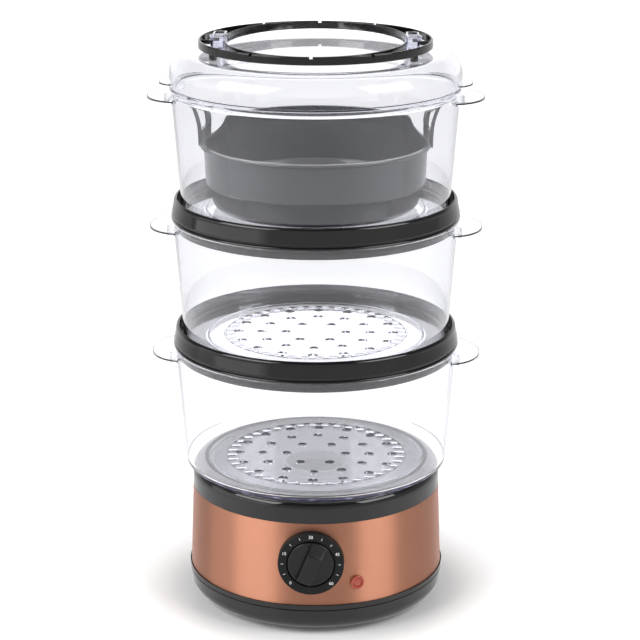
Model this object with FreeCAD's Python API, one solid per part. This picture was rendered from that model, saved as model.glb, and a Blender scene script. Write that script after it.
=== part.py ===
import FreeCAD, Part
import math
import os
from FreeCAD import Vector

# Three-tier electric food steamer, standing on its feet.
# Millimetres, +Z up, origin under the middle of the base, dial towards -Y, grips on +X and -X.

# Heights of the base
FOOT_HEIGHT = 4.5
SEAM_Z = 20.2
BAND_BOTTOM = 24.4
BAND_TOP = 86.3
SHOULDER_Z = 96.0
BASE_TOP = 105.0

# Radii of the base
BOTTOM_EDGE_R = 88.0
SEAM_R = 95.2
BAND_BOTTOM_R = 94.2
BAND_TOP_R = 92.0
BAND_SKIN = 0.6
LINER_GAP = 0.15
WALL = 2.2
SHAFT_WAY_R = 12.3
LENS_WAY_R = 4.4
TANK_MOUTH_R = 80.5

# Steaming tiers: each tier repeats one pitch higher
TIER_PITCH = 95.0
BASKET_HEIGHT = 89.5
BASKET_FOOT_R = 97.0
BASKET_RIM_R = 103.4
BASKET_CORNER = 3.0
CLEAR_WALL = 1.6
FLOOR_THICK = 1.8
RIDGE_R = 79.7
RIDGE_WALL = 1.8
RIDGE_DROP = 4.0
GRIP_REACH = 120.6
GRIP_HALF_WIDTH = 33.0
GRIP_DROP = 7.5
GRIP_THICK = 1.8
GRIP_LIP = 2.2
GRIP_LIP_WALL = 1.5
HOLE_RINGS = ((22.0, 6), (40.0, 12), (57.0, 16))
HOLE_R = 3.6

# Collar between two tiers, heights counted from the basket rim under it
COLLAR_TOP = 15.5
COLLAR_LEDGE = 5.5
COLLAR_SKIRT = -6.8
COLLAR_TOP_R = 102.4
COLLAR_R = 104.5
COLLAR_INNER_R = 100.2
LEDGE_HOLE_R = 81.0

# Lid and the ring on it
LID_R = 104.4
LID_WALL_TOP = 394.0
LID_SHOULDER = 15.0
LID_TOP = 409.0
LID_PLUG_R = 101.0
LID_PLUG_DEPTH = 3.2
LID_TAB_REACH = 112.0
LID_TAB_HALF_WIDTH = 20.0
LID_TAB_RISE = 2.4
LID_TAB_THICK = 1.8
LID_TAB_LIP = 2.0
RING_BOTTOM = 412.7
RING_TOP = 418.5
RING_R = 83.2
RING_WALL = 1.7
RING_OVAL_HALF_WIDTH = 64.0
RING_FOOT_XY = (69.5, 41.0)
RING_FOOT_R = 2.8
RING_NOTCH_ANGLES = (30, 60, 90, 120, 150, 210, 240, 270, 300, 330)
RING_NOTCH_HALF_WIDE = 1.2
RING_NOTCH_DEPTH = 1.6
WEB_RISE = 1.4
WEB_THICK = 1.5
WEB_SLOT_PLACES = (-26, -18, -10, 10, 18, 26)
WEB_SLOT_HALF = 2.6
BAR_TOP = 416.7
BAR_HALF_WIDE = 1.6
CLIP_X = 68.5
CLIP_HALF_WIDE = 4.9
CLIP_HALF_LONG = 15.0
CLIP_TOP = 421.0
CLIP_WALL = 1.8
CLIP_CORNER = 2.0
CLIP_RIB_PLACES = (-10, -5, 0, 5, 10)
CLIP_RIB_HALF = 0.8
CLIP_NOSE_HALF = 3.0

# Rice bowl
BOWL_RIM_Z = 344.5
BOWL_RIM_R = 82.6
BOWL_R = 80.4
BOWL_STEP_Z = 316.0
BOWL_FOOT_R = 66.0
BOWL_WALL = 2.2
BOWL_RIM_LEDGE = 3.2
BOWL_BACK_RISE = 10.5
BOWL_BACK_ANGLE = 57.0
BOWL_GRIP_FOOT_Z = 341.0
BOWL_GRIP_TOP = 378.0
BOWL_GRIP_REACH = 93.0
BOWL_GRIP_THICK = 2.6
BOWL_GRIP_FRONT_Y = -9.0
BOWL_GRIP_BACK_Y = 28.5
BOWL_GRIP_DROP = 14.5
BOWL_GRIP_KNEE = 14.0
BOWL_GRIP_ARM = 5.2
BOWL_GRIP_BAR = 4.2
BOWL_GRIP_CORNER = 2.5
BOWL_WINDOW_RISE = 10.5
BOWL_WINDOW_CORNER = 1.8

# Dial, knob and lamp
DIAL_Z = 57.5
BEZEL_R = 23.7
BEZEL_FRONT = -97.0
WELL_R = 17.7
WELL_DEPTH = 2.5
KNOB_R = 16.7
KNOB_FACE = -97.4
KNOB_FRONT = -104.5
KNOB_BAR_FOOT = (6.2, 15.4)
KNOB_BAR_CREST = (4.0, 11.5)
KNOB_REST_ANGLE = 22.5
SHAFT_R = 3.0
RUNNING_GAP = 0.06
LAMP_Z = 40.6
LAMP_ANGLE = 20.5
LAMP_R = 5.1

# Water tank and heating plate
TANK_FLOOR = 40.0
TANK_WALL = 2.4
TANK_R = 77.5
TANK_FRONT_Y = -50.0
DECK_Z = 92.4
PLATE_R = 36.0
STEM_R = 26.5
PLATE_SCREW_R = 30.0
SLEEVE_R = 40.0
SLEEVE_TOP = 88.0
TRAY_R = 79.6
TRAY_TOP = 99.6
CHIMNEY_R = 24.0

# Bottom cover and its fixings
COVER_R = 83.5
COVER_TOP = 7.0
FLANGE_R = 76.0
BOSS_XY = (65.8, 23.9)
BOSS_R = 4.5
SCREW_R = 1.6
FOOT_PITCH_R = 73.0
FOOT_R = 8.2
FOOT_POCKET = 1.3
GLAND_Z = 17.5
GLAND_BORE_R = 3.4

ORIGIN = Vector(0, 0, 0)
UP = Vector(0, 0, 1)


def save(shape, node):
    """Write one node and print its solids and volume."""
    shape.exportStep("parts/" + node + ".step")
    print(node, len(shape.Solids), "solid(s)", round(shape.Volume / 1000, 2), "cm3", shape.isValid())


def turned(start, *steps):
    """Turn a closed outline about Z: two numbers are a straight step, four an arc through a point."""
    edges = []
    here = start
    for step in steps + (start,):
        end = step[-2:]
        if len(step) == 4:
            through = Vector(step[0], 0, step[1])
            edges.append(Part.Arc(point(here), through, point(end)).toShape())
        elif end != here:
            edges.append(Part.LineSegment(point(here), point(end)).toShape())
        here = end
    return Part.Face(Part.Wire(edges)).revolve(ORIGIN, UP, 360)


def point(radius_and_height):
    return Vector(radius_and_height[0], 0, radius_and_height[1])


def quarter(centre_r, centre_z, radius, end, sign_r=1, sign_z=1):
    """Arc step for a rounded corner: its middle point, then its end."""
    reach = radius * math.sqrt(0.5)
    return (centre_r + sign_r * reach, centre_z + sign_z * reach) + end


def rod(radius, x, y, low, high):
    """Upright cylinder."""
    return Part.makeCylinder(radius, high - low, Vector(x, y, low), UP)


def rod_y(radius, z, front, back, x=0.0):
    """Cylinder along Y."""
    return Part.makeCylinder(radius, back - front, Vector(x, front, z), Vector(0, 1, 0))


def box(x0, x1, y0, y1, z0, z1):
    return Part.makeBox(x1 - x0, y1 - y0, z1 - z0, Vector(x0, y0, z0))


def fused(shapes):
    """Join a list of solids into one clean shape."""
    body = shapes[0]
    if len(shapes) > 1:
        body = body.multiFuse(shapes[1:])
    return body.removeSplitter()


def around(shape, angle):
    """Copy turned about Z by an angle in degrees."""
    copy = shape.copy()
    copy.rotate(ORIGIN, UP, angle)
    return copy


def ring_of(shape, count, first=0.0):
    """Copies spaced evenly about Z."""
    return [around(shape, first + 360.0 * i / count) for i in range(count)]


def polar(radius, angle):
    turn = math.radians(angle)
    return radius * math.cos(turn), radius * math.sin(turn)


def band_radius(z):
    """Outer radius of the slightly tapered metal band at a height."""
    share = (z - BAND_BOTTOM) / (BAND_TOP - BAND_BOTTOM)
    return BAND_BOTTOM_R + share * (BAND_TOP_R - BAND_BOTTOM_R)


def ellipse_prism(half_x, half_y, low, high):
    """Upright elliptical block about the Z axis."""
    if half_x >= half_y:
        curve = Part.Ellipse(Vector(0, 0, low), half_x, half_y).toShape()
    else:
        curve = Part.Ellipse(Vector(0, 0, low), half_y, half_x).toShape()
        curve.rotate(Vector(0, 0, low), UP, 90)
    return Part.Face(Part.Wire(curve)).extrude(Vector(0, 0, high - low))


def lead(points, radius, bend):
    """Insulated wire: straight runs joined by tangent arcs."""
    edges = []
    here = points[0]
    for i in range(1, len(points) - 1):
        before = (points[i - 1] - points[i]).normalize()
        after = (points[i + 1] - points[i]).normalize()
        half = before.getAngle(after) / 2
        back_off = bend / math.tan(half)
        start = points[i] + before * back_off
        end = points[i] + after * back_off
        inward = (before + after).normalize()
        middle = points[i] + inward * (bend / math.sin(half) - bend)
        edges.append(Part.LineSegment(here, start).toShape())
        edges.append(Part.Arc(start, middle, end).toShape())
        here = end
    edges.append(Part.LineSegment(here, points[-1]).toShape())
    section = Part.Circle(points[0], points[1] - points[0], radius).toShape()
    return Part.Wire(edges).makePipeShell([Part.Wire(section)], True, False)


# Base: outer shells
def dial_hole(radius):
    return rod_y(radius, DIAL_Z, -110, -60)


def lamp_hole(radius):
    return around(rod_y(radius, LAMP_Z, -110, -80), LAMP_ANGLE)


def copper_band():
    skin = BAND_SKIN
    band = turned(
        (BAND_BOTTOM_R, BAND_BOTTOM + 0.1), (BAND_TOP_R, BAND_TOP - 0.1),
        (BAND_TOP_R - skin, BAND_TOP - 0.1), (BAND_BOTTOM_R - skin, BAND_BOTTOM + 0.1))
    return band.cut(dial_hole(SHAFT_WAY_R)).cut(lamp_hole(LENS_WAY_R))


def lower_housing():
    """Curved-under skirt with a trim ring, and the liner that the metal band wraps."""
    liner_low = BAND_BOTTOM_R - BAND_SKIN - LINER_GAP
    liner_high = BAND_TOP_R - BAND_SKIN - LINER_GAP
    shell = turned(
        (FLANGE_R, COVER_TOP),
        (COVER_R + 0.3, COVER_TOP),
        (COVER_R + 0.3, FOOT_HEIGHT),
        (BOTTOM_EDGE_R, FOOT_HEIGHT),
        (92.9, 8.6, 94.6, 14.5),
        (SEAM_R, SEAM_Z),
        (SEAM_R - 1.0, SEAM_Z),
        (SEAM_R - 1.0, SEAM_Z + 0.7),
        (SEAM_R + 0.1, SEAM_Z + 0.7),
        (SEAM_R, BAND_BOTTOM),
        (liner_low, BAND_BOTTOM),
        (liner_high, BAND_TOP),
        (liner_high - WALL, BAND_TOP),
        (liner_low - WALL, BAND_BOTTOM),
        (liner_low - WALL - 0.4, 15.0),
        (90.2, 11.0, 86.0, COVER_TOP + 2.2),
        (FLANGE_R, COVER_TOP + 2.2))
    gland_way = rod_y(5.6, GLAND_Z, 80, 100)
    return shell.cut(dial_hole(SHAFT_WAY_R)).cut(lamp_hole(LENS_WAY_R)).cut(gland_way)


def boss_places():
    x, y = BOSS_XY
    return [(x, y), (-x, y), (-x, -y), (x, -y)]


def bottom_cover():
    """Flat closing plate with foot pockets, counterbored screw holes and air slots."""
    plate = turned((0, FOOT_HEIGHT), (COVER_R, FOOT_HEIGHT), (COVER_R, COVER_TOP), (0, COVER_TOP))
    cuts = []
    for x, y in boss_places():
        cuts.append(rod(SCREW_R + 0.25, x, y, 0, 10))
        cuts.append(rod(3.4, x, y, 0, FOOT_HEIGHT + 1.2))
    for angle in (45, 135, 225, 315):
        x, y = polar(FOOT_PITCH_R, angle)
        cuts.append(rod(FOOT_R + 0.1, x, y, 0, FOOT_HEIGHT + FOOT_POCKET))
    for row in range(-3, 4):
        cuts.append(box(-18, 18, row * 9 - 1.5, row * 9 + 1.5, 0, 10))
    return plate.cut(Part.makeCompound(cuts))


def rubber_feet():
    feet = []
    for angle in (45, 135, 225, 315):
        x, y = polar(FOOT_PITCH_R, angle)
        foot = rod(FOOT_R, x, y, 0, FOOT_HEIGHT + FOOT_POCKET)
        bottom = [edge for edge in foot.Edges if edge.BoundBox.ZMax < 0.1]
        feet.append(foot.makeFillet(1.2, bottom))
    return Part.makeCompound(feet)


def cover_screws():
    screws = []
    for x, y in boss_places():
        head = rod(3.1, x, y, FOOT_HEIGHT + 0.2, FOOT_HEIGHT + 1.2)
        shank = rod(SCREW_R - 0.05, x, y, FOOT_HEIGHT + 1.2, 24)
        cross = box(x - 2, x + 2, y - 0.4, y + 0.4, FOOT_HEIGHT, FOOT_HEIGHT + 0.7)
        screws.append(fused([head, shank]).cut(cross))
    return Part.makeCompound(screws)


# Base: water tank
def water_tank():
    """Glossy top ring, deck and a reservoir that stops short of the timer."""
    shoulder_r = BAND_TOP_R - (BASE_TOP - SHOULDER_Z)
    inner = TANK_WALL
    ring = turned(
        (BAND_TOP_R - 0.1, BAND_TOP), (BAND_TOP_R, SHOULDER_Z),
        quarter(shoulder_r, SHOULDER_Z, BASE_TOP - SHOULDER_Z, (shoulder_r, BASE_TOP)),
        (TANK_MOUTH_R, BASE_TOP),
        (TANK_MOUTH_R, DECK_Z),
        (TANK_R, DECK_Z),
        (TANK_R, DECK_Z - inner),
        (TANK_MOUTH_R + inner, DECK_Z - inner),
        (TANK_MOUTH_R + inner, BASE_TOP - inner),
        (shoulder_r, BASE_TOP - inner),
        quarter(shoulder_r, SHOULDER_Z, BASE_TOP - inner - SHOULDER_Z, (BAND_TOP_R - inner, SHOULDER_Z)),
        (BAND_TOP_R - inner, BAND_TOP))
    half = TANK_R + inner
    behind = box(-100, 100, TANK_FRONT_Y - inner, 100, 0, 200)
    outer = rod(half, 0, 0, TANK_FLOOR, DECK_Z - 0.2).common(behind)
    deck = rod(TANK_MOUTH_R + 1, 0, 0, DECK_Z - inner, DECK_Z)
    cavity = rod(TANK_R, 0, 0, TANK_FLOOR + inner, 120).common(box(-100, 100, TANK_FRONT_Y, 100, 0, 200))
    bosses = [rod(BOSS_R, x, y, COVER_TOP, TANK_FLOOR + 1) for x, y in boss_places()]
    body = fused([ring, deck, outer] + bosses).cut(cavity)
    holes = [rod(STEM_R + 0.5, 0, 0, 30, 60)]
    for angle in (30, 150, 270):
        x, y = polar(PLATE_SCREW_R, angle)
        holes.append(rod(1.7, x, y, 30, 60))
    for x, y in boss_places():
        holes.append(rod(SCREW_R, x, y, 0, 28))
    return body.cut(Part.makeCompound(holes))


# Base: heater
def heating_plate():
    plate = turned(
        (0, 37.5), (STEM_R, 37.5), (STEM_R, 43.4), (PLATE_R, 43.4), (PLATE_R, 45.4),
        quarter(PLATE_R - 1.5, 45.4, 1.5, (PLATE_R - 1.5, 46.9)),
        (PLATE_R - 10, 46.9), (PLATE_R - 12, 45.9), (0, 45.9))
    holes = [rod(1.5, *polar(PLATE_SCREW_R, angle), 40, 45.5) for angle in (30, 150, 270)]
    return plate.cut(Part.makeCompound(holes))


def element_seal():
    return turned((32.0, 42.4), (PLATE_R, 42.4), (PLATE_R, 43.4), (32.0, 43.4))


def element_clamp():
    plate = turned((STEM_R + 0.7, 38.4), (PLATE_R, 38.4), (PLATE_R, 40.0), (STEM_R + 0.7, 40.0))
    holes = [rod(1.7, *polar(PLATE_SCREW_R, angle), 30, 45) for angle in (30, 150, 270)]
    return plate.cut(Part.makeCompound(holes))


def element_screws():
    screws = []
    for angle in (30, 150, 270):
        x, y = polar(PLATE_SCREW_R, angle)
        screws.append(fused([rod(2.8, x, y, 36.5, 38.4), rod(1.4, x, y, 38.4, 45.2)]))
    return Part.makeCompound(screws)


def heating_element():
    """Tubular heater: an open ring under the plate with two tails turned down."""
    ring_r = 20.0
    tube = 3.0
    centre_z = 37.5 - tube
    gap = math.radians(24)
    start = Vector(ring_r * math.sin(gap), -ring_r * math.cos(gap), centre_z)
    end = Vector(-start.x, start.y, centre_z)
    loop = Part.Arc(start, Vector(0, ring_r, centre_z), end).toShape()
    section = Part.Circle(start, Vector(start.y, -start.x, 0), tube).toShape()
    heater = Part.Wire([loop]).makePipeShell([Part.Wire(section)], True, False)
    tails = [Part.makeSphere(tube, start), Part.makeSphere(tube, end)]
    for tail in (start, end):
        tails.append(rod(tube, tail.x, tail.y, centre_z - 9, centre_z))
        tails.append(rod(1.0, tail.x, tail.y, centre_z - 14, centre_z - 9))
    return fused([heater] + tails)


def thermostat():
    return fused([rod(8.0, 0, 0, 31.5, 37.5), rod(6.0, 0, 0, 28.0, 31.5), box(-9, -7, -2, 2, 25, 33)])


def thermal_fuse():
    return Part.makeCylinder(2.0, 12, Vector(-6, 12.2, 35.3), Vector(1, 0, 0))


# Base: timer, dial and lamp
def timer_body():
    """Clockwork timer housing with a front bearing for its shaft."""
    case = box(-21, 21, -85, -57, DIAL_Z - 21, DIAL_Z + 21)
    corners = [edge for edge in case.Edges if abs(edge.BoundBox.YLength - 28) < 0.1]
    case = case.makeFillet(4.0, corners)
    collar = rod_y(5.5, DIAL_Z, -87.2, -84.5)
    ears = box(-28, 28, -83, -81.4, DIAL_Z - 5, DIAL_Z + 5)
    bore = rod_y(SHAFT_R + RUNNING_GAP, DIAL_Z, -90, -74)
    screw_holes = [rod_y(1.7, DIAL_Z, -90, -75, x) for x in (-25, 25)]
    return fused([case, collar, ears]).cut(Part.makeCompound([bore] + screw_holes))


def timer_bell():
    """Small struck bell on the back of the timer."""
    dome = turned(
        (0, 0), (15.0, 0), (15.0, 1.6), quarter(13.0, 1.6, 2.0, (13.0, 3.6)), (0, 3.6)
    ).cut(turned((0, -1), (14.2, -1), (14.2, 1.4), (12.8, 2.8), (0, 2.8)))
    dome.rotate(ORIGIN, Vector(1, 0, 0), -90)
    dome.translate(Vector(0, -56.9, DIAL_Z))
    return dome


def timer_screws():
    screws = []
    for x in (-25, 25):
        screws.append(fused([rod_y(2.8, DIAL_Z, -81.4, -79.4, x), rod_y(1.5, DIAL_Z, -85.4, -81.4, x)]))
    return Part.makeCompound(screws)


def timer_shaft():
    shaft = rod_y(SHAFT_R, DIAL_Z, -102.5, -75)
    flat = box(-5, 5, -103, -96, DIAL_Z + 2.2, DIAL_Z + 4)
    return turned_knob(shaft.cut(flat))


def turned_knob(shape):
    """Turn a knob piece from straight up to its rest mark."""
    copy = shape.copy()
    copy.rotate(Vector(0, 0, DIAL_Z), Vector(0, 1, 0), KNOB_REST_ANGLE)
    return copy


def dial_bezel():
    """Flat ring with a well for the knob; its back follows the tapered band."""
    ring = rod_y(BEZEL_R, DIAL_Z, BEZEL_FRONT, -84)
    rim = [e for e in ring.Edges if e.BoundBox.YMax < BEZEL_FRONT + 0.1 and e.BoundBox.XLength > 10]
    ring = ring.makeFillet(0.8, rim)
    low = BAND_BOTTOM
    high = BAND_TOP
    clear = 0.1
    core = turned(
        (0, low), (BAND_BOTTOM_R + clear, low), (BAND_TOP_R + clear, high), (0, high))
    ring = ring.cut(core)
    well = rod_y(WELL_R, DIAL_Z, BEZEL_FRONT - 1, BEZEL_FRONT + WELL_DEPTH)
    spigot = rod_y(12.0, DIAL_Z, BEZEL_FRONT + WELL_DEPTH + 0.4, -88)
    return fused([ring.cut(well), spigot]).cut(rod_y(SHAFT_R + 1.2, DIAL_Z, -110, -80))


def tapered_bar(half_wide, half_long, y_face, half_wide_front, half_long_front, y_front):
    """Grip bar: a ruled loft between a rounded base and a smaller rounded front."""
    return Part.makeLoft([
        slot_wire(half_wide, half_long, y_face),
        slot_wire(half_wide_front, half_long_front, y_front)], True, True)


def slot_wire(half_wide, half_long, y):
    """Upright slot outline with round ends, facing -Y."""
    straight = half_long - half_wide
    top = DIAL_Z + straight
    low = DIAL_Z - straight
    return Part.Wire([
        Part.LineSegment(Vector(-half_wide, y, low), Vector(-half_wide, y, top)).toShape(),
        Part.Arc(Vector(-half_wide, y, top), Vector(0, y, top + half_wide), Vector(half_wide, y, top)).toShape(),
        Part.LineSegment(Vector(half_wide, y, top), Vector(half_wide, y, low)).toShape(),
        Part.Arc(Vector(half_wide, y, low), Vector(0, y, low - half_wide), Vector(-half_wide, y, low)).toShape()])


def timer_knob():
    disc = rod_y(KNOB_R, DIAL_Z, KNOB_FACE, BEZEL_FRONT + WELL_DEPTH - 0.3)
    rim = [e for e in disc.Edges if e.BoundBox.YMax < KNOB_FACE + 0.1 and e.BoundBox.XLength > 10]
    disc = disc.makeFillet(0.8, rim)
    bar = tapered_bar(*KNOB_BAR_FOOT, KNOB_FACE + 0.5, *KNOB_BAR_CREST, KNOB_FRONT)
    front = [e for e in bar.Edges if e.BoundBox.YMax < KNOB_FRONT + 0.1]
    bar = bar.makeFillet(0.7, front)
    bore = rod_y(SHAFT_R + 0.02, DIAL_Z, -102.6, -90)
    return turned_knob(fused([disc, bar]).cut(bore))


def indicator_lens():
    """Round red lens with a shallow rim, its flange seated on the band."""
    outer = band_radius(LAMP_Z)
    cap = rod_y(LAMP_R, LAMP_Z, -outer - 2.0, -outer + 1.2)
    front = [e for e in cap.Edges if e.BoundBox.YMax < -outer - 1.9 and e.BoundBox.XLength > 4]
    cap = cap.makeFillet(0.9, front)
    core = turned((0, 0), (BAND_BOTTOM_R + 0.1, BAND_BOTTOM), (BAND_TOP_R + 0.1, BAND_TOP), (0, BAND_TOP))
    cap = cap.cut(rod_y(3.3, LAMP_Z, -outer - 3, -outer - 1.2))
    stem = rod_y(4.2, LAMP_Z, -outer - 0.6, -outer + 5.5).cut(rod_y(3.0, LAMP_Z, -outer + 1.0, -outer + 6))
    return fused([around(cap, LAMP_ANGLE).cut(core), around(stem, LAMP_ANGLE)])


def indicator_lamp():
    outer = band_radius(LAMP_Z)
    bulb = fused([rod_y(2.6, LAMP_Z, -outer + 2.2, -outer + 8), rod_y(4.2, LAMP_Z, -outer + 5.6, -outer + 12)])
    return around(bulb, LAMP_ANGLE)


# Base: mains parts and leads
def terminal_block():
    block = box(-14, 14, 58, 70, COVER_TOP + 0.1, 19)
    ways = [rod_y(1.8, 13, 57, 71, x) for x in (-8, 0, 8)]
    screws = [rod(1.5, x, 64, 15, 20) for x in (-8, 0, 8)]
    return block.cut(Part.makeCompound(ways + screws))


def cord_gland():
    """Round bushing in the back of the housing; the mains cord would pass through it."""
    neck = rod_y(5.4, GLAND_Z, 84, 96)
    flange = rod_y(7.2, GLAND_Z, 95.5, 97.4)
    edge = [e for e in flange.Edges if e.BoundBox.YMin > 97.3]
    flange = flange.makeFillet(0.9, edge)
    nut = rod_y(6.4, GLAND_Z, 84, 86.4)
    return fused([neck, flange, nut]).cut(rod_y(GLAND_BORE_R, GLAND_Z, 80, 100))


def timer_lead():
    """From the terminal block round the right side to the timer."""
    points = [
        Vector(8, 57.9, 13), Vector(8, 44, 13), Vector(44, 30, 15), Vector(52, -20, 20),
        Vector(30, -44, 26), Vector(12, -50, 29), Vector(12, -66, 32), Vector(12, -66, 36.4)]
    return lead(points, 1.3, 2.0)


def neutral_lead():
    """From the terminal block to one tail of the heater."""
    points = [
        Vector(-8, 57.9, 13), Vector(-8, 40, 13), Vector(-32, 24, 14), Vector(-30, -14, 15),
        Vector(-8.1, -18.3, 14), Vector(-8.1, -18.3, 20.4)]
    return lead(points, 1.3, 2.0)


def heater_lead():
    """From the timer to the other tail of the heater."""
    points = [
        Vector(-10, -64, 36.4), Vector(-10, -64, 28), Vector(-6, -46, 20),
        Vector(8.1, -30, 14), Vector(8.1, -18.3, 14), Vector(8.1, -18.3, 20.4)]
    return lead(points, 1.3, 2.0)


# Loose pieces in the base
def steam_sleeve():
    """Open cylinder round the heating plate with water notches at its foot."""
    low = TANK_FLOOR + TANK_WALL
    sleeve = turned(
        (SLEEVE_R - 1.8, low), (SLEEVE_R + 3, low), (SLEEVE_R + 3, low + 1.8), (SLEEVE_R, low + 1.8),
        (SLEEVE_R - 8, SLEEVE_TOP), (SLEEVE_R - 9.8, SLEEVE_TOP))
    notch = box(SLEEVE_R - 8, SLEEVE_R + 8, -7, 7, low - 1, low + 7)
    return sleeve.cut(Part.makeCompound(ring_of(notch, 4, 45)))


def drip_tray():
    """Shallow dish on the tank's deck with a steam chimney in the middle."""
    low = DECK_Z
    return turned(
        (CHIMNEY_R - 1.6, low), (TRAY_R, low), (TRAY_R, TRAY_TOP), (TRAY_R - 1.6, TRAY_TOP),
        (TRAY_R - 1.6, low + 3.0), quarter(TRAY_R - 3.0, low + 3.0, 1.4, (TRAY_R - 3.0, low + 1.6), 1, -1),
        (CHIMNEY_R + 1.4, low + 1.6),
        quarter(CHIMNEY_R + 1.4, low + 3.0, 1.4, (CHIMNEY_R, low + 3.0), -1, -1),
        (CHIMNEY_R, TRAY_TOP), (CHIMNEY_R - 1.6, TRAY_TOP))


# Steaming tiers
def grip(reach, half_width, wall_r, z, thick, lip):
    """Half-oval scoop on +X with a turned-down edge, cut to start inside the wall."""
    start = wall_r - 4.0
    depth = reach - start
    edge = GRIP_LIP_WALL
    outer = ellipse_prism(depth, half_width, z - lip, z + thick)
    inner = ellipse_prism(depth - edge, half_width - edge, z - lip - 1, z)
    shape = outer.cut(inner)
    shape.translate(Vector(start, 0, 0))
    return shape


def basket(bottom):
    """Clear tapered basket: perforated floor, locating ridge, rim and two side grips."""
    rim = bottom + BASKET_HEIGHT
    wall = CLEAR_WALL
    corner = BASKET_CORNER
    shell = turned(
        (0, bottom), (BASKET_FOOT_R - corner, bottom),
        quarter(BASKET_FOOT_R - corner, bottom + corner, corner, (BASKET_FOOT_R, bottom + corner), 1, -1),
        (BASKET_RIM_R, rim), (BASKET_RIM_R - wall, rim),
        (BASKET_FOOT_R - wall, bottom + corner),
        (BASKET_FOOT_R - corner, bottom + FLOOR_THICK), (0, bottom + FLOOR_THICK))
    ridge = turned(
        (RIDGE_R - RIDGE_WALL, bottom - RIDGE_DROP), (RIDGE_R, bottom - RIDGE_DROP),
        (RIDGE_R, bottom + 0.1), (RIDGE_R - RIDGE_WALL, bottom + 0.1))
    scoop_z = rim - GRIP_DROP
    wall_here = BASKET_RIM_R - GRIP_DROP * (BASKET_RIM_R - BASKET_FOOT_R) / BASKET_HEIGHT
    scoop = grip(GRIP_REACH, GRIP_HALF_WIDTH, wall_here, scoop_z, GRIP_THICK, GRIP_LIP)
    inside = turned((0, bottom + 10), (wall_here - 0.8, bottom + 10), (wall_here - 0.8, rim + 10), (0, rim + 10))
    scoops = [part.cut(inside) for part in ring_of(scoop, 2)]
    holes = []
    for radius, count in HOLE_RINGS:
        holes += ring_of(rod(HOLE_R, radius, 0, bottom - 2, bottom + 5), count)
    return fused([shell, ridge] + scoops).cut(Part.makeCompound(holes))


def collar(rim):
    """Black joining collar: flared band with a bead, a skirt inside the lower basket, a ledge above."""
    return turned(
        (COLLAR_R - 3.9, rim),
        (COLLAR_R - 0.6, rim),
        (COLLAR_R, rim + 1.2, COLLAR_R - 0.6, rim + 2.3),
        (COLLAR_R - 1.2, rim + 2.6),
        (COLLAR_R - 1.2, rim + 3.1),
        (COLLAR_R - 0.2, rim + 3.6),
        (COLLAR_TOP_R, rim + 12.5),
        (COLLAR_TOP_R, rim + COLLAR_TOP - 1.1),
        ((COLLAR_TOP_R + COLLAR_INNER_R) / 2, rim + COLLAR_TOP, COLLAR_INNER_R, rim + COLLAR_TOP - 1.1),
        (COLLAR_INNER_R, rim + COLLAR_LEDGE),
        (LEDGE_HOLE_R, rim + COLLAR_LEDGE),
        (LEDGE_HOLE_R, rim + COLLAR_LEDGE - 1.8),
        (COLLAR_R - 5.7, rim + COLLAR_LEDGE - 1.8),
        (COLLAR_R - 5.7, rim + COLLAR_SKIRT),
        (COLLAR_R - 3.9, rim + COLLAR_SKIRT))


# Rice bowl
def rice_bowl(floor):
    """Grey bowl: stepped wall, rolled rim, raised back and two flared loop grips."""
    wall = BOWL_WALL
    body = turned(
        (0, floor), (BOWL_FOOT_R, floor), (BOWL_FOOT_R + 4.6, floor + 1.2, BOWL_FOOT_R + 8, floor + 4.5),
        (BOWL_R - 2.2, BOWL_STEP_Z - 1.0), (BOWL_R - 1.2, BOWL_STEP_Z),
        (BOWL_R, BOWL_RIM_Z - 3.0), (BOWL_RIM_R, BOWL_RIM_Z - 2.4),
        (BOWL_RIM_R + 0.5, BOWL_RIM_Z - 1.2, BOWL_RIM_R, BOWL_RIM_Z),
        (BOWL_RIM_R - BOWL_RIM_LEDGE, BOWL_RIM_Z),
        (BOWL_R - wall - 1.2, BOWL_STEP_Z), (BOWL_R - wall - 2.2, BOWL_STEP_Z - 1.0),
        (BOWL_FOOT_R + 6, floor + 6), (BOWL_FOOT_R + 3, floor + 3.2, BOWL_FOOT_R - 1, floor + wall),
        (0, floor + wall))
    inner = BOWL_RIM_R - BOWL_RIM_LEDGE
    crest = BOWL_RIM_Z + BOWL_BACK_RISE
    back = turned(
        (inner, BOWL_RIM_Z - 0.1), (BOWL_RIM_R, BOWL_RIM_Z - 0.1), (BOWL_RIM_R, crest), (inner, crest))
    right = bowl_grip()
    left = right.mirror(ORIGIN, Vector(1, 0, 0))
    return fused([body, back.common(back_outline()), right, left])


def back_outline():
    """Wedge seen from the back: the raised rim with soft shoulders, extruded along Y."""
    half = BOWL_RIM_R * math.sin(math.radians(BOWL_BACK_ANGLE))
    low = BOWL_RIM_Z - 0.1
    top = BOWL_RIM_Z + BOWL_BACK_RISE
    wide = half + 8.0
    edges = [
        Part.LineSegment(Vector(-wide, 20, low), Vector(wide, 20, low)).toShape(),
        Part.Arc(Vector(wide, 20, low), Vector(half + 2.6, 20, low + 3), Vector(half, 20, low + 7)).toShape(),
        Part.Arc(Vector(half, 20, low + 7), Vector(half - 1.6, 20, top - 1), Vector(half - 5, 20, top)).toShape(),
        Part.LineSegment(Vector(half - 5, 20, top), Vector(5 - half, 20, top)).toShape(),
        Part.Arc(Vector(5 - half, 20, top), Vector(1.6 - half, 20, top - 1), Vector(-half, 20, low + 7)).toShape(),
        Part.Arc(Vector(-half, 20, low + 7), Vector(-half - 2.6, 20, low + 3), Vector(-wide, 20, low)).toShape()]
    return Part.Face(Part.Wire(edges)).extrude(Vector(0, 80, 0))


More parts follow.
